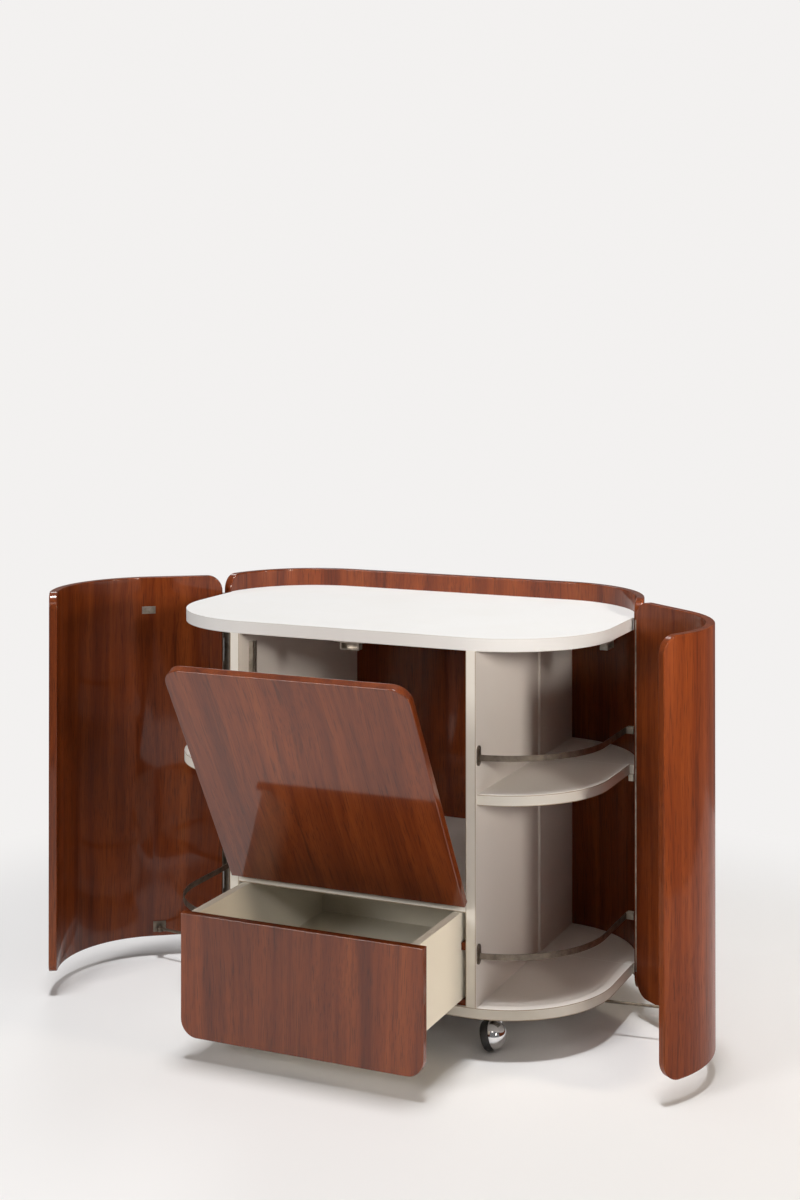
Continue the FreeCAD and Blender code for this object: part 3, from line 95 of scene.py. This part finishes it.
def add_group(tree, group, values=None):
    """Places a shared group in a material."""
    return add_node(tree, "ShaderNodeGroup", values, node_tree=group)


def start_material(name, **shader_values):
    """Makes a material with a Principled shader and gives its tree and shader node."""
    material = bpy.data.materials.new(name)
    material.use_nodes = True
    tree = material.node_tree
    shader = tree.nodes["Principled BSDF"]
    for label, value in shader_values.items():
        socket_name = label.replace("_", " ").title().replace("Ior", "IOR")
        shader.inputs[socket_name].default_value = value
    return material, tree, shader


print("node helpers ready")

# %% [markdown]
# The other helpers do the sums inside a tree: a ramp of colours, a mix of two colours and a
# calculation. They take a socket, a number or a colour in the same place. Setting up each
# node by hand would do the same, but the trees would then be too long to read.

# %% Write the helpers for colours and numbers
BLACK = (0.0, 0.0, 0.0)
WHITE = (1.0, 1.0, 1.0)


def feed(tree, value, socket):
    """Links a socket to an input, or sets the input to a number or a colour."""
    if isinstance(value, bpy.types.NodeSocket):
        join(tree, value, socket)
    elif isinstance(value, tuple):
        socket.default_value = (*value, 1.0)
    else:
        socket.default_value = value


def ramp(tree, stops, source):
    """Colour ramp with the given (place, colour) stops, fed by a value."""
    node = tree.nodes.new("ShaderNodeValToRGB")
    while len(node.color_ramp.elements) < len(stops):
        node.color_ramp.elements.new(0.5)
    for element, (place, colour) in zip(node.color_ramp.elements, stops):
        element.position = place
        element.color = (*colour, 1.0)
    join(tree, source, node.inputs["Fac"])
    return node.outputs["Color"]


def blend_colours(tree, amount, first, second):
    """Mixes two colours; the sockets of a colour Mix node are known by their numbers."""
    node = add_node(tree, "ShaderNodeMix", data_type="RGBA")
    for number, value in ((0, amount), (6, first), (7, second)):
        feed(tree, value, node.inputs[number])
    return node.outputs[2]


def calculate(tree, operation, first, second=0.0, third=0.0, clamp=False):
    """A Math node on up to three sockets or numbers."""
    node = add_node(tree, "ShaderNodeMath", operation=operation, use_clamp=clamp)
    for socket, value in zip(node.inputs, (first, second, third)):
        feed(tree, value, socket)
    return node.outputs[0]


print("colour and number helpers ready")

# %% [markdown]
# ## Rosewood veneer
# The panels are faced with rosewood: fine dark pores and broad streaks from red-brown to
# almost black, all running up the panel. A Wave texture would give even rings. Noise that
# is stretched along the grain gives bands of uneven width, as in a sliced log, and a slow
# noise lets them wander. The grain runs along Z of the vector that goes in.

# %% Write the grain noises
SWAY_STRETCH = 0.35
SWAY_SCALE = 3.0
SWAY_REACH = (0.09, 0.09, 0.0)


def sway_vector(tree, vector):
    """Lets the grain wander sideways along its length."""
    drift = add_node(tree, "ShaderNodeMapping", {"Scale": (1.0, 1.0, SWAY_STRETCH)})
    join(tree, vector, drift.inputs["Vector"])
    sway = add_node(tree, "ShaderNodeTexNoise", {"Scale": SWAY_SCALE, "Detail": 2.0})
    join(tree, drift.outputs["Vector"], sway.inputs["Vector"])
    offset = add_node(tree, "ShaderNodeVectorMath", {1: SWAY_REACH}, operation="MULTIPLY_ADD")
    join(tree, sway.outputs["Color"], offset.inputs[0])
    join(tree, vector, offset.inputs[2])
    return offset.outputs["Vector"]


def stretch_noise(tree, vector, along, scale, detail, rough, distortion):
    """Noise that is drawn out along Z."""
    mapping = add_node(tree, "ShaderNodeMapping", {"Scale": (1.0, 1.0, along)})
    join(tree, vector, mapping.inputs["Vector"])
    values = {"Scale": scale, "Detail": detail, "Roughness": rough, "Distortion": distortion}
    noise = add_node(tree, "ShaderNodeTexNoise", values)
    join(tree, mapping.outputs["Vector"], noise.inputs["Vector"])
    return noise.outputs["Fac"]


print("grain sways by up to", SWAY_REACH[0], "m")

# %% [markdown]
# Four of these noises make the figure: the body colour, the dark streaks, the pores and a
# slow cloud of light and dark. They could stand in every panel's material, but the panels
# look as if cut from one log, so they share a group that puts out colour, roughness and
# height.

# %% Build the veneer group
GRAIN = {  # stretch along the grain, scale, detail, roughness, distortion
    "broad": (0.030, 34.0, 6.0, 0.62, 0.3),
    "streak": (0.020, 85.0, 4.0, 0.65, 0.5),
    "pore": (0.030, 760.0, 2.0, 0.5, 0.0),
    "cloud": (0.4, 4.5, 3.0, 0.5, 0.0),
}
WOOD_BODY = [
    (0.28, (0.102, 0.018, 0.0045)),
    (0.44, (0.162, 0.031, 0.0066)),
    (0.58, (0.222, 0.046, 0.0092)),
    (0.76, (0.288, 0.067, 0.0130)),
]
STREAK_MASK = [(0.31, WHITE), (0.41, BLACK)]
STREAK_COLOUR = (0.030, 0.008, 0.003)
STREAK_DEPTH = 0.50
PORE_MASK = [(0.36, WHITE), (0.46, BLACK)]
PORE_COLOUR = (0.035, 0.010, 0.005)
PORE_DEPTH = 0.48
CLOUD_RANGE, CLOUD_BASE = 0.7, 0.65
PORE_ROUGHNESS, WOOD_ROUGHNESS = 0.12, 0.34


def build_veneer_group():
    tree, entry, leave = start_group(
        "rosewood figure",
        [("Vector", "Vector", (0.0, 0.0, 0.0)), ("Tone", "Float", 0.5)],
        [("Color", "Color"), ("Roughness", "Float"), ("Height", "Float")],
    )
    vector = sway_vector(tree, entry.outputs["Vector"])
    grain = {name: stretch_noise(tree, vector, *row) for name, row in GRAIN.items()}
    dark = ramp(tree, STREAK_MASK, grain["streak"])
    pores = ramp(tree, PORE_MASK, grain["pore"])
    colour = ramp(tree, WOOD_BODY, grain["broad"])
    marks = ((dark, STREAK_DEPTH, STREAK_COLOUR), (pores, PORE_DEPTH, PORE_COLOUR))
    for mask, depth, tint in marks:
        colour = blend_colours(tree, calculate(tree, "MULTIPLY", mask, depth), colour, tint)
    cloud = calculate(tree, "MULTIPLY_ADD", grain["cloud"], CLOUD_RANGE, CLOUD_BASE)
    double_tone = calculate(tree, "MULTIPLY", entry.outputs["Tone"], 2.0)
    toned = add_node(tree, "ShaderNodeVectorMath", operation="SCALE")
    join(tree, colour, toned.inputs[0])
    join(tree, calculate(tree, "MULTIPLY", cloud, double_tone), toned.inputs["Scale"])
    join(tree, toned.outputs["Vector"], leave.inputs["Color"])
    rough = calculate(tree, "MULTIPLY_ADD", pores, PORE_ROUGHNESS, WOOD_ROUGHNESS)
    join(tree, rough, leave.inputs["Roughness"])
    join(tree, calculate(tree, "SUBTRACT", 1.0, pores), leave.inputs["Height"])
    return tree


veneer_group = build_veneer_group()
print("veneer group sockets:", [item.name for item in veneer_group.interface.items_tree])

# %% [markdown]
# Each panel carries its own leaf of veneer under a clear lacquer, on both faces alike. One
# material for all would repeat the same streaks side by side. So every panel gets the same
# group, shifted to another place in the log and turned so that its grain runs up the panel.
# The shader's coat is the lacquer, with more weight on the panels that mirror more.

# %% Finish the veneered panels
FLAP_LEAN = math.radians(30.6)
VENEER_LEAVES = {  # place in the log, turn of the grain, tone, lacquer
    "back_shell": ((0.0, 0.0, 0.0), 0.0, 0.50, 0.7),
    "left_door": ((1.7, 0.4, 0.9), 0.0, 0.46, 0.6),
    "right_door": ((3.1, 1.3, 0.2), 0.0, 0.50, 0.25),
    "flap": ((5.3, 2.2, 1.1), -FLAP_LEAN, 0.48, 1.0),
    "drawer_front": ((7.9, 0.7, 2.0), 0.0, 0.46, 0.9),
}
LACQUER = {"coat_roughness": 0.07, "coat_ior": 1.5}
WOOD_SPECULAR = 0.08
PORE_BUMP = {"Strength": 0.06, "Distance": 0.0003}


def make_veneer(panel, shift, turn, tone, coat):
    """Rosewood for one panel."""
    material, tree, shader = start_material(
        "rosewood " + panel.replace("_", " "),
        specular_ior_level=WOOD_SPECULAR, coat_weight=coat, **LACQUER,
    )
    place = add_node(tree, "ShaderNodeTexCoord")
    values = {"Location": shift, "Rotation": (turn, 0.0, 0.0)}
    mapping = add_node(tree, "ShaderNodeMapping", values)
    join(tree, place.outputs["Object"], mapping.inputs["Vector"])
    figure = add_group(tree, veneer_group, {"Tone": tone})
    join(tree, mapping.outputs["Vector"], figure.inputs["Vector"])
    join(tree, figure.outputs["Color"], shader.inputs["Base Color"])
    join(tree, figure.outputs["Roughness"], shader.inputs["Roughness"])
    bump = add_node(tree, "ShaderNodeBump", PORE_BUMP)
    join(tree, figure.outputs["Height"], bump.inputs["Height"])
    join(tree, bump.outputs["Normal"], shader.inputs["Normal"])
    return material


def dress(node, material):
    """Gives a CAD node its material."""
    mesh = nodes[node].data
    mesh.materials.clear()
    mesh.materials.append(material)


for panel, leaf in VENEER_LEAVES.items():
    dress(panel, make_veneer(panel, *leaf))
print("veneered:", ", ".join(VENEER_LEAVES))

# %% [markdown]
# ## White laminate
# A thin strip closes the edges of the white boards. It has yellowed, and dark glue lines run along
# its borders. Towards the floor it is painted darker and yellower: partly real yellowing, partly
# painted shade that falls low in the cart. The strip could be a solid of its own, but it is too
# thin to be told from the board by its shape, so it is made as colour: patches that depend on the
# height, and a line near either border.

# %% Age the edge strip and paint its shade near the floor
# Painted shade: the strip darkens and yellows towards the floor, partly real yellowing and partly
# the shade low in the cart.
AGE_AND_SHADE_BY_HEIGHT = {"From Min": 0.68, "From Max": 0.10, "To Min": 0.10, "To Max": 0.60}
AGE_AND_SHADE_PATCHES, AGE_AND_SHADE_BASE = 0.55, 0.45
AGE_AND_SHADE_COLOUR = (0.50, 0.43, 0.33)
GLUE_MASK = [(0.42, BLACK), (0.46, WHITE)]
GLUE_PATCHES, GLUE_BASE = 0.9, 0.5
GLUE_COLOUR = (0.34, 0.24, 0.15)


def distance_from(tree, value, middle):
    """How far a value is from a middle, to either side."""
    return calculate(tree, "ABSOLUTE", calculate(tree, "SUBTRACT", value, middle))


def age_and_shade_strip(tree, entry, cloud, stain, height):
    """Edge strip colour: yellowed, with painted shade making it darker towards the floor, and glue
    lines at its borders.
    """
    # Painted shade: this darkening by height partly stands for the shade near the floor, partly
    # for real yellowing.
    low = add_node(tree, "ShaderNodeMapRange", AGE_AND_SHADE_BY_HEIGHT)
    join(tree, height, low.inputs["Value"])
    patchy = calculate(tree, "MULTIPLY_ADD", stain, AGE_AND_SHADE_PATCHES, AGE_AND_SHADE_BASE)
    age_and_shade = calculate(tree, "MULTIPLY", patchy, low.outputs["Result"])
    strip = blend_colours(tree, age_and_shade, entry.outputs["Strip"], AGE_AND_SHADE_COLOUR)
    glue = ramp(tree, GLUE_MASK, distance_from(tree, entry.outputs["Across"], 0.5))
    worn = calculate(tree, "MULTIPLY_ADD", cloud, GLUE_PATCHES, GLUE_BASE)
    glue = calculate(tree, "MULTIPLY", glue, worn)
    glue = calculate(tree, "MULTIPLY", glue, entry.outputs["Line"])
    return blend_colours(tree, glue, strip, GLUE_COLOUR)


print("edge strip ages to", AGE_AND_SHADE_COLOUR)

# %% [markdown]
# The faces of the boards are white laminate, a little stained. Level with the door hinges a joint
# crosses the floor and the side shelves; the joint is real, and its thin pale line is a painted
# highlight of the joint's edge catching the light. Stains and line could be drawn on an image for
# each board. A group that reads the place in the cart does it for all of them at once, and puts
# the edge strip where a mask asks for it.

# %% Build the aged white group
STAIN_MASK = [(0.42, BLACK), (0.70, WHITE)]
STAIN_COLOUR = (0.70, 0.66, 0.58)
STAIN_DEPTH = 0.10
# Painted highlight: the joint at the hinge line is real, but its pale line stands for the joint's
# edge catching the light.
HINGE_LINE = 0.187
SEAM_WIDTH = 0.0018
SEAM_HIGHLIGHT_COLOUR = (0.93, 0.91, 0.87)
SPECK_ROUGHNESS, LAMINATE_ROUGHNESS = 0.15, 0.66


def build_white_group():
    tree, entry, leave = start_group(
        "aged white",
        [("Vector", "Vector", (0.0, 0.0, 0.0)), ("Across", "Float", 0.5), ("Edge", "Float", 0.0),
         ("Line", "Float", 1.0), ("Lit Joint", "Float", 0.0), ("Face", "Color", (0.9, 0.9, 0.9, 1.0)),
         ("Strip", "Color", (0.8, 0.75, 0.6, 1.0))],
        [("Color", "Color"), ("Roughness", "Float")],
    )
    cloud = add_node(tree, "ShaderNodeTexNoise", {"Scale": 5.0, "Detail": 4.0, "Roughness": 0.6})
    speck = add_node(tree, "ShaderNodeTexNoise", {"Scale": 90.0, "Detail": 3.0})
    place = add_node(tree, "ShaderNodeSeparateXYZ")
    for node in (cloud, speck, place):
        join(tree, entry.outputs["Vector"], node.inputs["Vector"])
    stain = ramp(tree, STAIN_MASK, cloud.outputs["Fac"])
    stained = calculate(tree, "MULTIPLY", stain, STAIN_DEPTH)
    face = blend_colours(tree, stained, entry.outputs["Face"], STAIN_COLOUR)
    strip = age_and_shade_strip(tree, entry, cloud.outputs["Fac"], stain, place.outputs["Z"])
    colour = blend_colours(tree, entry.outputs["Edge"], face, strip)
    # Painted highlight: a thin pale line at the hinge line, standing for the lit edge of the real
    # joint.
    beside = distance_from(tree, place.outputs["Y"], HINGE_LINE)
    lit_seam = calculate(tree, "LESS_THAN", beside, SEAM_WIDTH / 2)
    lit_seam = calculate(tree, "MULTIPLY", lit_seam, entry.outputs["Lit Joint"])
    join(tree, blend_colours(tree, lit_seam, colour, SEAM_HIGHLIGHT_COLOUR), leave.inputs["Color"])
    rough = calculate(
        tree, "MULTIPLY_ADD", speck.outputs["Fac"], SPECK_ROUGHNESS, LAMINATE_ROUGHNESS
    )
    join(tree, rough, leave.inputs["Roughness"])
    return tree


white_group = build_white_group()
print("white group sockets:", [item.name for item in white_group.interface.items_tree])

# %% [markdown]
# The edge strip is a finish of its own on the real boards. It could be given to chosen faces,
# but the solids stay whole, so the material tells the edge by the object-space normal. A
# level board's edge is where the surface is upright, and a divider's edge is where it looks
# to the front. The place across the strip, for the glue lines, comes from the Generated
# coordinate. The thin liners on the dividers show no strip.

# %% Finish the white boards
WHITE_FACE = (0.86, 0.845, 0.82, 1.0)
WHITE_STRIP = (0.86, 0.83, 0.77, 1.0)
WHITE_TOP = (0.85, 0.848, 0.845, 1.0)
# Painted shade: the boards inside the bays get a darker, warmer white than the open boards, partly
# yellowing and partly the warm shade of the bays.
WHITE_BAY_SHADED = (0.80, 0.76, 0.715, 1.0)
WHITE_SPECULAR = 0.03
EDGE_TESTS = {"Z": ("LESS_THAN", "Z"), "Y": ("GREATER_THAN", "X")}  # comparison, axis across
EDGE_LIMIT = 0.5
TOP_GLUE = 0.15


def make_white(name, face, strip=WHITE_STRIP, edge_axis=None, line=1.0, joint=0.0):
    """White board; its edge strip is found along the given axis of the normal, if any."""
    material, tree, shader = start_material(name, specular_ior_level=WHITE_SPECULAR)
    values = {"Face": face, "Strip": strip, "Line": line, "Lit Joint": joint}
    white = add_group(tree, white_group, values)
    place = add_node(tree, "ShaderNodeTexCoord")
    join(tree, place.outputs["Object"], white.inputs["Vector"])
    if edge_axis:
        comparison, axis_across = EDGE_TESTS[edge_axis]
        normal = add_node(tree, "ShaderNodeSeparateXYZ")
        join(tree, place.outputs["Normal"], normal.inputs["Vector"])
        size = calculate(tree, "ABSOLUTE", normal.outputs[edge_axis])
        join(tree, calculate(tree, comparison, size, EDGE_LIMIT), white.inputs["Edge"])
        across = add_node(tree, "ShaderNodeSeparateXYZ")
        join(tree, place.outputs["Generated"], across.inputs["Vector"])
        join(tree, across.outputs[axis_across], white.inputs["Across"])
    join(tree, white.outputs["Color"], shader.inputs["Base Color"])
    join(tree, white.outputs["Roughness"], shader.inputs["Roughness"])
    return material


level_white = make_white("white laminate level", WHITE_FACE, edge_axis="Z")
# The floor board, side shelves, dividers and liners take the darker bay white, which is partly
# painted shade.
bay_white_shaded = make_white("white laminate bay shaded", WHITE_BAY_SHADED, edge_axis="Z", joint=1.0)
top_white = make_white("white laminate top", WHITE_TOP, WHITE_TOP, edge_axis="Z", line=TOP_GLUE)
upright_white_shaded = make_white("white laminate upright shaded", WHITE_BAY_SHADED, edge_axis="Y")
liner_white_shaded = make_white("white liner shaded", WHITE_BAY_SHADED)
WHITE_BOARDS = {
    "top_board": top_white,
    "bar_shelf": level_white,
    "floor_board": bay_white_shaded,
    "left_shelf": bay_white_shaded,
    "right_shelf": bay_white_shaded,
    "left_divider": upright_white_shaded,
    "right_divider": upright_white_shaded,
    "divider_liners": liner_white_shaded,
}
for board, finish in WHITE_BOARDS.items():
    dress(board, finish)
print("white boards:", len(WHITE_BOARDS))

# %% [markdown]
# ## Drawer box and runners
# The drawer box is painted cream, and its runners and guide strips are bare hardwood. Both
# could have trees of their own. The paint ages as the laminate does and the strips have a
# grain as the panels have, so the same makers serve, with the grain turned to run from front
# to back.

# %% Finish the drawer box
CREAM = (0.84, 0.80, 0.70, 1.0)
drawer_cream = make_white("drawer cream", CREAM)
for board in ("drawer_left_side", "drawer_right_side", "drawer_back", "drawer_bottom"):
    dress(board, drawer_cream)
runner_wood = make_veneer("runners", shift=(2.0, 9.0, 1.0), turn=math.pi / 2, tone=0.35, coat=0.1)
for strip in ("drawer_runners", "drawer_guides"):
    dress(strip, runner_wood)
print("drawer finished")

# %% [markdown]
# ## Metals, tyres and clips
# The fittings are old: bronze gone dull, steel hinges with a satin grey skin, and bright
# chrome on the casters. A plain metal shader would look new. So one shared group breaks up
# colour and roughness with smudges.

# %% Build the smudge group
SMUDGE_MASK = [(0.40, BLACK), (0.66, WHITE)]
SMUDGE_ROUGHNESS = 0.12


def build_smudge_group():
    tree, entry, leave = start_group(
        "handled metal",
        [("Vector", "Vector", (0.0, 0.0, 0.0)), ("Clean", "Color", (0.5, 0.5, 0.5, 1.0)),
         ("Dull", "Color", (0.3, 0.3, 0.3, 1.0)), ("Gloss", "Float", 0.3)],
        [("Color", "Color"), ("Roughness", "Float")],
    )
    noise = add_node(tree, "ShaderNodeTexNoise", {"Scale": 60.0, "Detail": 4.0, "Roughness": 0.65})
    join(tree, entry.outputs["Vector"], noise.inputs["Vector"])
    mask = ramp(tree, SMUDGE_MASK, noise.outputs["Fac"])
    colour = blend_colours(tree, mask, entry.outputs["Clean"], entry.outputs["Dull"])
    join(tree, colour, leave.inputs["Color"])
    rough = calculate(tree, "MULTIPLY_ADD", mask, SMUDGE_ROUGHNESS, entry.outputs["Gloss"])
    join(tree, rough, leave.inputs["Roughness"])
    return tree


smudge_group = build_smudge_group()
print("smudge group sockets:", [item.name for item in smudge_group.interface.items_tree])

# %% [markdown]
# The record of the cart names a material slot for every piece, so most fittings get their
# finish by slot. A list of nodes would have to be kept in step by hand. Only the pieces that
# differ from the rest of their slot are named: the stay track, the stay rods and the clips
# of the rails.

# %% Finish the fittings
SLOT_METALS = {  # material name, clean colour, dull colour, roughness, metallic
    "bronze": ("dull bronze", (0.24, 0.20, 0.16), (0.15, 0.125, 0.10), 0.42, 1.0),
    "hinge_steel": ("satin steel", (0.40, 0.36, 0.31), (0.22, 0.19, 0.16), 0.34, 1.0),
    "chrome": ("polished chrome", (0.82, 0.82, 0.83), (0.74, 0.74, 0.75), 0.05, 1.0),
    "tyre": ("black tyre", (0.020, 0.019, 0.018), (0.035, 0.033, 0.031), 0.40, 0.0),
    "clip": ("pale clip", (0.78, 0.75, 0.66), (0.68, 0.63, 0.52), 0.40, 0.0),
}
TRACK_METAL = ("dull aluminium", (0.62, 0.60, 0.55), (0.42, 0.40, 0.36), 0.42, 1.0)
ROD_METAL = ("brown rod steel", (0.20, 0.16, 0.12), (0.12, 0.10, 0.08), 0.40, 1.0)
RAIL_CLIP = ("brown clip", (0.30, 0.26, 0.21), (0.20, 0.17, 0.13), 0.40, 0.0)


def make_metal(name, clean, dull, gloss, metallic):
    """Metal, rubber or plastic with smudges."""
    material, tree, shader = start_material(name, metallic=metallic)
    place = add_node(tree, "ShaderNodeTexCoord")
    values = {"Clean": (*clean, 1.0), "Dull": (*dull, 1.0), "Gloss": gloss}
    smudge = add_group(tree, smudge_group, values)
    join(tree, place.outputs["Object"], smudge.inputs["Vector"])
    join(tree, smudge.outputs["Color"], shader.inputs["Base Color"])
    join(tree, smudge.outputs["Roughness"], shader.inputs["Roughness"])
    return material


slot_finishes = {slot: make_metal(*row) for slot, row in SLOT_METALS.items()}
for subpart in frame["record"]["subparts"]:
    if subpart["material_slot"] in slot_finishes:
        dress(subpart["node"], slot_finishes[subpart["material_slot"]])
rod_steel = make_metal(*ROD_METAL)
for rod in ("left_stay_rod", "right_stay_rod"):
    dress(rod, rod_steel)
dress("flap_stay_track", make_metal(*TRACK_METAL))
dress("rail_clips", make_metal(*RAIL_CLIP))
print("fittings finished:", ", ".join(slot_finishes))

# %% [markdown]
# ## Floor
# The cart stands on a white studio sweep. A modelled sweep would show its bend from other
# sides. So the floor is flat, and away from the cart it fades to the plain white of the
# backdrop for the camera, so that no horizon shows.

# %% Build the floor
BACKDROP = (0.895, 0.880, 0.870, 1.0)
FLOOR_SIZE = 3.3
FLOOR_COLOUR = (0.85, 0.85, 0.855, 1.0)
FLOOR_ROUGHNESS = 0.6
FADE = {"From Min": 0.85, "From Max": 1.5}


def mix_shaders(tree, amount, first, second, surface):
    """Mixes two shaders into the surface of an output node."""
    mixer = add_node(tree, "ShaderNodeMixShader")
    for number, socket in enumerate((amount, first, second)):
        join(tree, socket, mixer.inputs[number])
    join(tree, mixer.outputs["Shader"], surface)


floor_mesh = bpy.data.meshes.new("floor")
grid = bmesh.new()
bmesh.ops.create_grid(grid, x_segments=1, y_segments=1, size=FLOOR_SIZE / 2)
grid.to_mesh(floor_mesh)
grid.free()
floor = bpy.data.objects.new("floor", floor_mesh)
scene.collection.objects.link(floor)

floor_paint, tree, shader = start_material(
    "studio floor", base_color=FLOOR_COLOUR, roughness=FLOOR_ROUGHNESS
)
place = add_node(tree, "ShaderNodeTexCoord")
distance = add_node(tree, "ShaderNodeVectorMath", operation="LENGTH")
join(tree, place.outputs["Object"], distance.inputs[0])
fade = add_node(tree, "ShaderNodeMapRange", FADE, interpolation_type="SMOOTHSTEP")
join(tree, distance.outputs["Value"], fade.inputs["Value"])
ray = add_node(tree, "ShaderNodeLightPath")
seen = calculate(tree, "MULTIPLY", ray.outputs["Is Camera Ray"], fade.outputs["Result"])
glow = add_node(tree, "ShaderNodeEmission", {"Color": BACKDROP, "Strength": 1.0})
surface = tree.nodes["Material Output"].inputs["Surface"]
mix_shaders(tree, seen, shader.outputs["BSDF"], glow.outputs["Emission"], surface)
floor_mesh.materials.append(floor_paint)
print("floor:", FLOOR_SIZE, "m wide")

# %% [markdown]
# ## Backdrop
# Behind the cart everything is plain white. A white world would do that, but it would also
# light the cart from all sides and wash out the lacquer. So the world is white for the
# camera and through clear pieces, only a share of it shows in reflections, and what lights
# the cart is a weak warm fill.

# %% Build the world
FILL_COLOUR = (1.0, 0.94, 0.88, 1.0)
FILL_STRENGTH = 0.04
GLOSSY_SHARE = 0.15

world = bpy.data.worlds.new("studio")
scene.world = world
world.use_nodes = True
tree = world.node_tree
fill = tree.nodes["Background"]
fill.inputs["Color"].default_value = FILL_COLOUR
fill.inputs["Strength"].default_value = FILL_STRENGTH
plain = add_node(tree, "ShaderNodeBackground", {"Color": BACKDROP, "Strength": 1.0})
ray = add_node(tree, "ShaderNodeLightPath")
seen = calculate(
    tree, "MULTIPLY_ADD", ray.outputs["Is Glossy Ray"], GLOSSY_SHARE, ray.outputs["Is Camera Ray"]
)
seen = calculate(tree, "ADD", seen, ray.outputs["Is Transmission Ray"], clamp=True)
surface = tree.nodes["World Output"].inputs["Surface"]
mix_shaders(tree, seen, fill.outputs["Background"], plain.outputs["Background"], surface)
print("world share in reflections:", GLOSSY_SHARE)

# %% [markdown]
# ## Lamps
# The studio's main light comes straight from above, so the doors throw hardly any shadow to
# the side and the bays lie in the shade of the top. A large softbox above would reach into
# the bays, so a sun lamp with a small angle does most of its work. A narrow key stands at
# the front right, where it lights the front of the divider past the right door and leaves
# the rear in the door's shade. Low warm light comes from the right, and broad soft light from
# the front left, the front and the back.

# %% Hang the lamps
OVERHEAD_STRENGTH = 1.90
OVERHEAD_ANGLE = math.radians(8.0)
OVERHEAD_LEAN = math.radians(3.5)
CENTRE = (0.0, 0.0, 0.4)
OPEN_BEAM = 180.0
GRID_BEAM = 50.0
SOFTBOXES = {  # place, aim, width, height, power, colour, beam in degrees
    "overhead softbox": ((0.0, -0.5, 4.0), CENTRE, 1.2, 1.2, 10.0, WHITE, OPEN_BEAM),
    "front softbox": ((1.05, -3.28, 3.3), CENTRE, 1.2, 1.0, 10.0, (1.0, 0.94, 0.87), OPEN_BEAM),
    "key softbox": (
        (2.62, -1.98, 1.55), (1.0, 0.0, 1.30), 0.35, 0.6, 10.0, (1.0, 0.93, 0.85), GRID_BEAM,
    ),
    "right softbox": (
        (3.0, -0.35, 0.90), (0.0, 0.0, 0.5), 0.5, 0.4, 32.0, (1.0, 0.86, 0.68), OPEN_BEAM,
    ),
    "back softbox": ((-2.6, 3.2, 4.4), CENTRE, 1.2, 1.2, 30.0, WHITE, OPEN_BEAM),
    "left softbox": (
        (-1.6, -3.6, 1.9), (0.0, 0.0, 0.7), 1.2, 1.0, 62.0, (1.0, 0.97, 0.94), OPEN_BEAM,
    ),
}


def add_softbox(name, place, aim, width, height, power, colour, beam):
    """Rectangular area light at a place, turned towards a point; a grid narrows its beam."""
    data = bpy.data.lights.new(name, "AREA")
    data.shape = "RECTANGLE"
    data.size = width
    data.size_y = height
    data.energy = power
    data.color = colour
    data.spread = math.radians(beam)
    light = bpy.data.objects.new(name, data)
    light.location = place
    light.rotation_euler = (Vector(aim) - Vector(place)).to_track_quat("-Z", "Y").to_euler()
    scene.collection.objects.link(light)


overhead = bpy.data.lights.new("overhead lamp", "SUN")
overhead.energy = OVERHEAD_STRENGTH
overhead.angle = OVERHEAD_ANGLE
lamp = bpy.data.objects.new("overhead lamp", overhead)
lamp.rotation_euler = (OVERHEAD_LEAN, 0.0, 0.0)
scene.collection.objects.link(lamp)
for name, row in SOFTBOXES.items():
    add_softbox(name, *row)
print("lamps:", 1 + len(SOFTBOXES))
